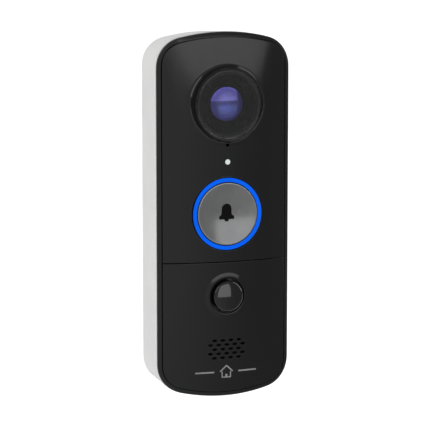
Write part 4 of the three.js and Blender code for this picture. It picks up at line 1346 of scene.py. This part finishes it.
# %% Socket, flap and reset button
SOCKET_Y = -13.0
socket = prism("charging_socket", soft_box(0, SOCKET_Y, 4.45, 1.6, 1.45), -63.3, -56.6, "z", rounding=0.1)
carve(socket, [prism("hollow", soft_box(0, SOCKET_Y, 4.15, 1.3, 1.2), -65, -57.2, "z")])
carve(socket, [prism("tongue", soft_box(0, SOCKET_Y, 3.3, 0.35, 0.15), -62.6, -56.9, "z")], "UNION")
dress(socket, "doorbell", STEEL, ["usb_port"])
strips = []
for x in np.linspace(-2.75, 2.75, 12):
    for side in (-1, 1):
        low_y, high_y = SOCKET_Y + side * 0.30, SOCKET_Y + side * 0.38
        strips.append(block(x - 0.13, x + 0.13, low_y, high_y, -62.3, -59.5))
contacts = merged(strips)
contacts.name = contacts.data.name = "socket_contacts"
dress(contacts, "doorbell", GOLD)

flap_shape = soft_box(0, SOCKET_Y, 6.3, 3.0, 1.0)
flap = prism("port_flap", flap_shape, FLAP_HINGE_Z - 0.6, FLAP_HINGE_Z + 0.6, "z", rounding=0.25)
turn = np.linspace(0, 2 * np.pi, 32, endpoint=False)
barrel_x = np.array([-6.3, -6.2, 6.2, 6.3])[:, None]
barrel_r = np.array([0.5, 0.6, 0.6, 0.5])[:, None]
barrel_y = FLAP_HINGE_Y + barrel_r * np.cos(turn)
barrel_z = FLAP_HINGE_Z + barrel_r * np.sin(turn)
barrel_rows = np.stack([np.broadcast_to(barrel_x, (4, 32)), barrel_y, barrel_z], -1)
plug_shape = soft_box(0, SOCKET_Y, 3.9, 1.1, 1.0)
plug = prism("plug", plug_shape, FLAP_HINGE_Z + 0.4, FLAP_HINGE_Z + 0.95, "z", rounding=0.2)
carve(flap, [skin("barrel", barrel_rows), plug], "UNION")
grip = [soft_box(0, y, 3.2, 0.16, 0.15) for y in (-14.2, -14.8, -15.4)]
carve(flap, [merged([prism("rib", rib, -66, FLAP_HINGE_Z - 0.42, "z") for rib in grip])])
dress(flap, "flap", SOFT_RUBBER, ["port_cover"])

reset_corners = [
    [0, -6.3, 0],
    [1.45, -6.3, 0],
    [1.45, -5.8, 0],
    [2.3, -5.8, 0],
    [2.3, -5.2, 0],
    [1.45, -5.2, 0],
    [1.45, -3.3, 0.25],
    [0, -3.2, 0],
]
reset = turned("reset_pin", 0, -41, reset_corners, 40)
dress(reset, "reset", SOFT_RUBBER, ["reset_button"])

# %% [markdown]
# ## What stays from the frame
# The inner parts already have the right shapes, so they keep them and only get finishes.

# %% Finishes for the inner parts
def woven_wire():
    """Two crossed waves make a fine wire cloth."""
    p = Paint("woven_wire")
    x, _, z = p.split(p.place())
    over = (x * 15.7).do("SINE") * (z * 15.7).do("SINE")
    drift = p.noise(p.place(), 0.3, 2)
    p.set(Base_Color=p.mix(over.step(-0.6, 0.6), (0.006, 0.006, 0.006), (0.03, 0.03, 0.03)))
    p.set(Roughness=0.45 + 0.15 * drift, Metallic=0.3)
    p.bump(over, 0.8, 0.05)
    return p.material


WIRE_CLOTH = woven_wire()
LED_CLEAR = finish(
    "led_resin", (0.012, 0.008, 0.010), (0.020, 0.014, 0.017), 0.0, 0.4, 4.0, 0.003, shine=0.12
)
kept = {
    BOARD: ["camera_board", "button_board", "main_board", "charge_board"],
    CHIP: ["processor", "button_switch", "switch_plunger", "image_sensor", "reset_switch", "terminal_block"],
    MATTE_BLACK: ["lens_holder", "speaker_basket", "battery_bracket"],
    SOFT_RUBBER: ["perimeter_gasket", "window_gasket", "mic_boot", "speaker_gasket"],
    STEEL: ["microphone", "pir_sensor", "speaker_magnet", "wifi_shield"],
    GOLD: ["wifi_antenna"],
    WRAP: ["battery_pack"],
    WIRE_CLOTH: ["grille_mesh"],
    LENS_BLACK: ["ir_board"],
    PRINT_BLACK: ["speaker_cone"],
    INNER_COATING: ["lens_rear_element"],
    LED_CLEAR: ["ir_led_1", "ir_led_2", "ir_led_3", "ir_led_4"],
    RING_GLOW: ["ring_led_1", "ring_led_2", "ring_led_3", "ring_led_4"],
    STATUS_GLOW: ["status_led"],
}
for material, names in kept.items():
    for name in names:
        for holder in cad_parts[name].material_slots:
            holder.material = material
print("kept nodes:", sum(len(names) for names in kept.values()))

# %% [markdown]
# ## Which softbox lights what
# Each softbox gets its own list of pieces. A shiny dish and a shiny dome mirror everything in front
# of them, so a softbox placed for the face would put its reflection in the wrong place on both.

# %% Light linking
light_only(cap_softbox, [cap, bell])
light_only(dome_softbox, [dome])
light_only(front_softbox, [], [cap, bell, dome])
print("linked:", cap_softbox.name, dome_softbox.name, front_softbox.name)
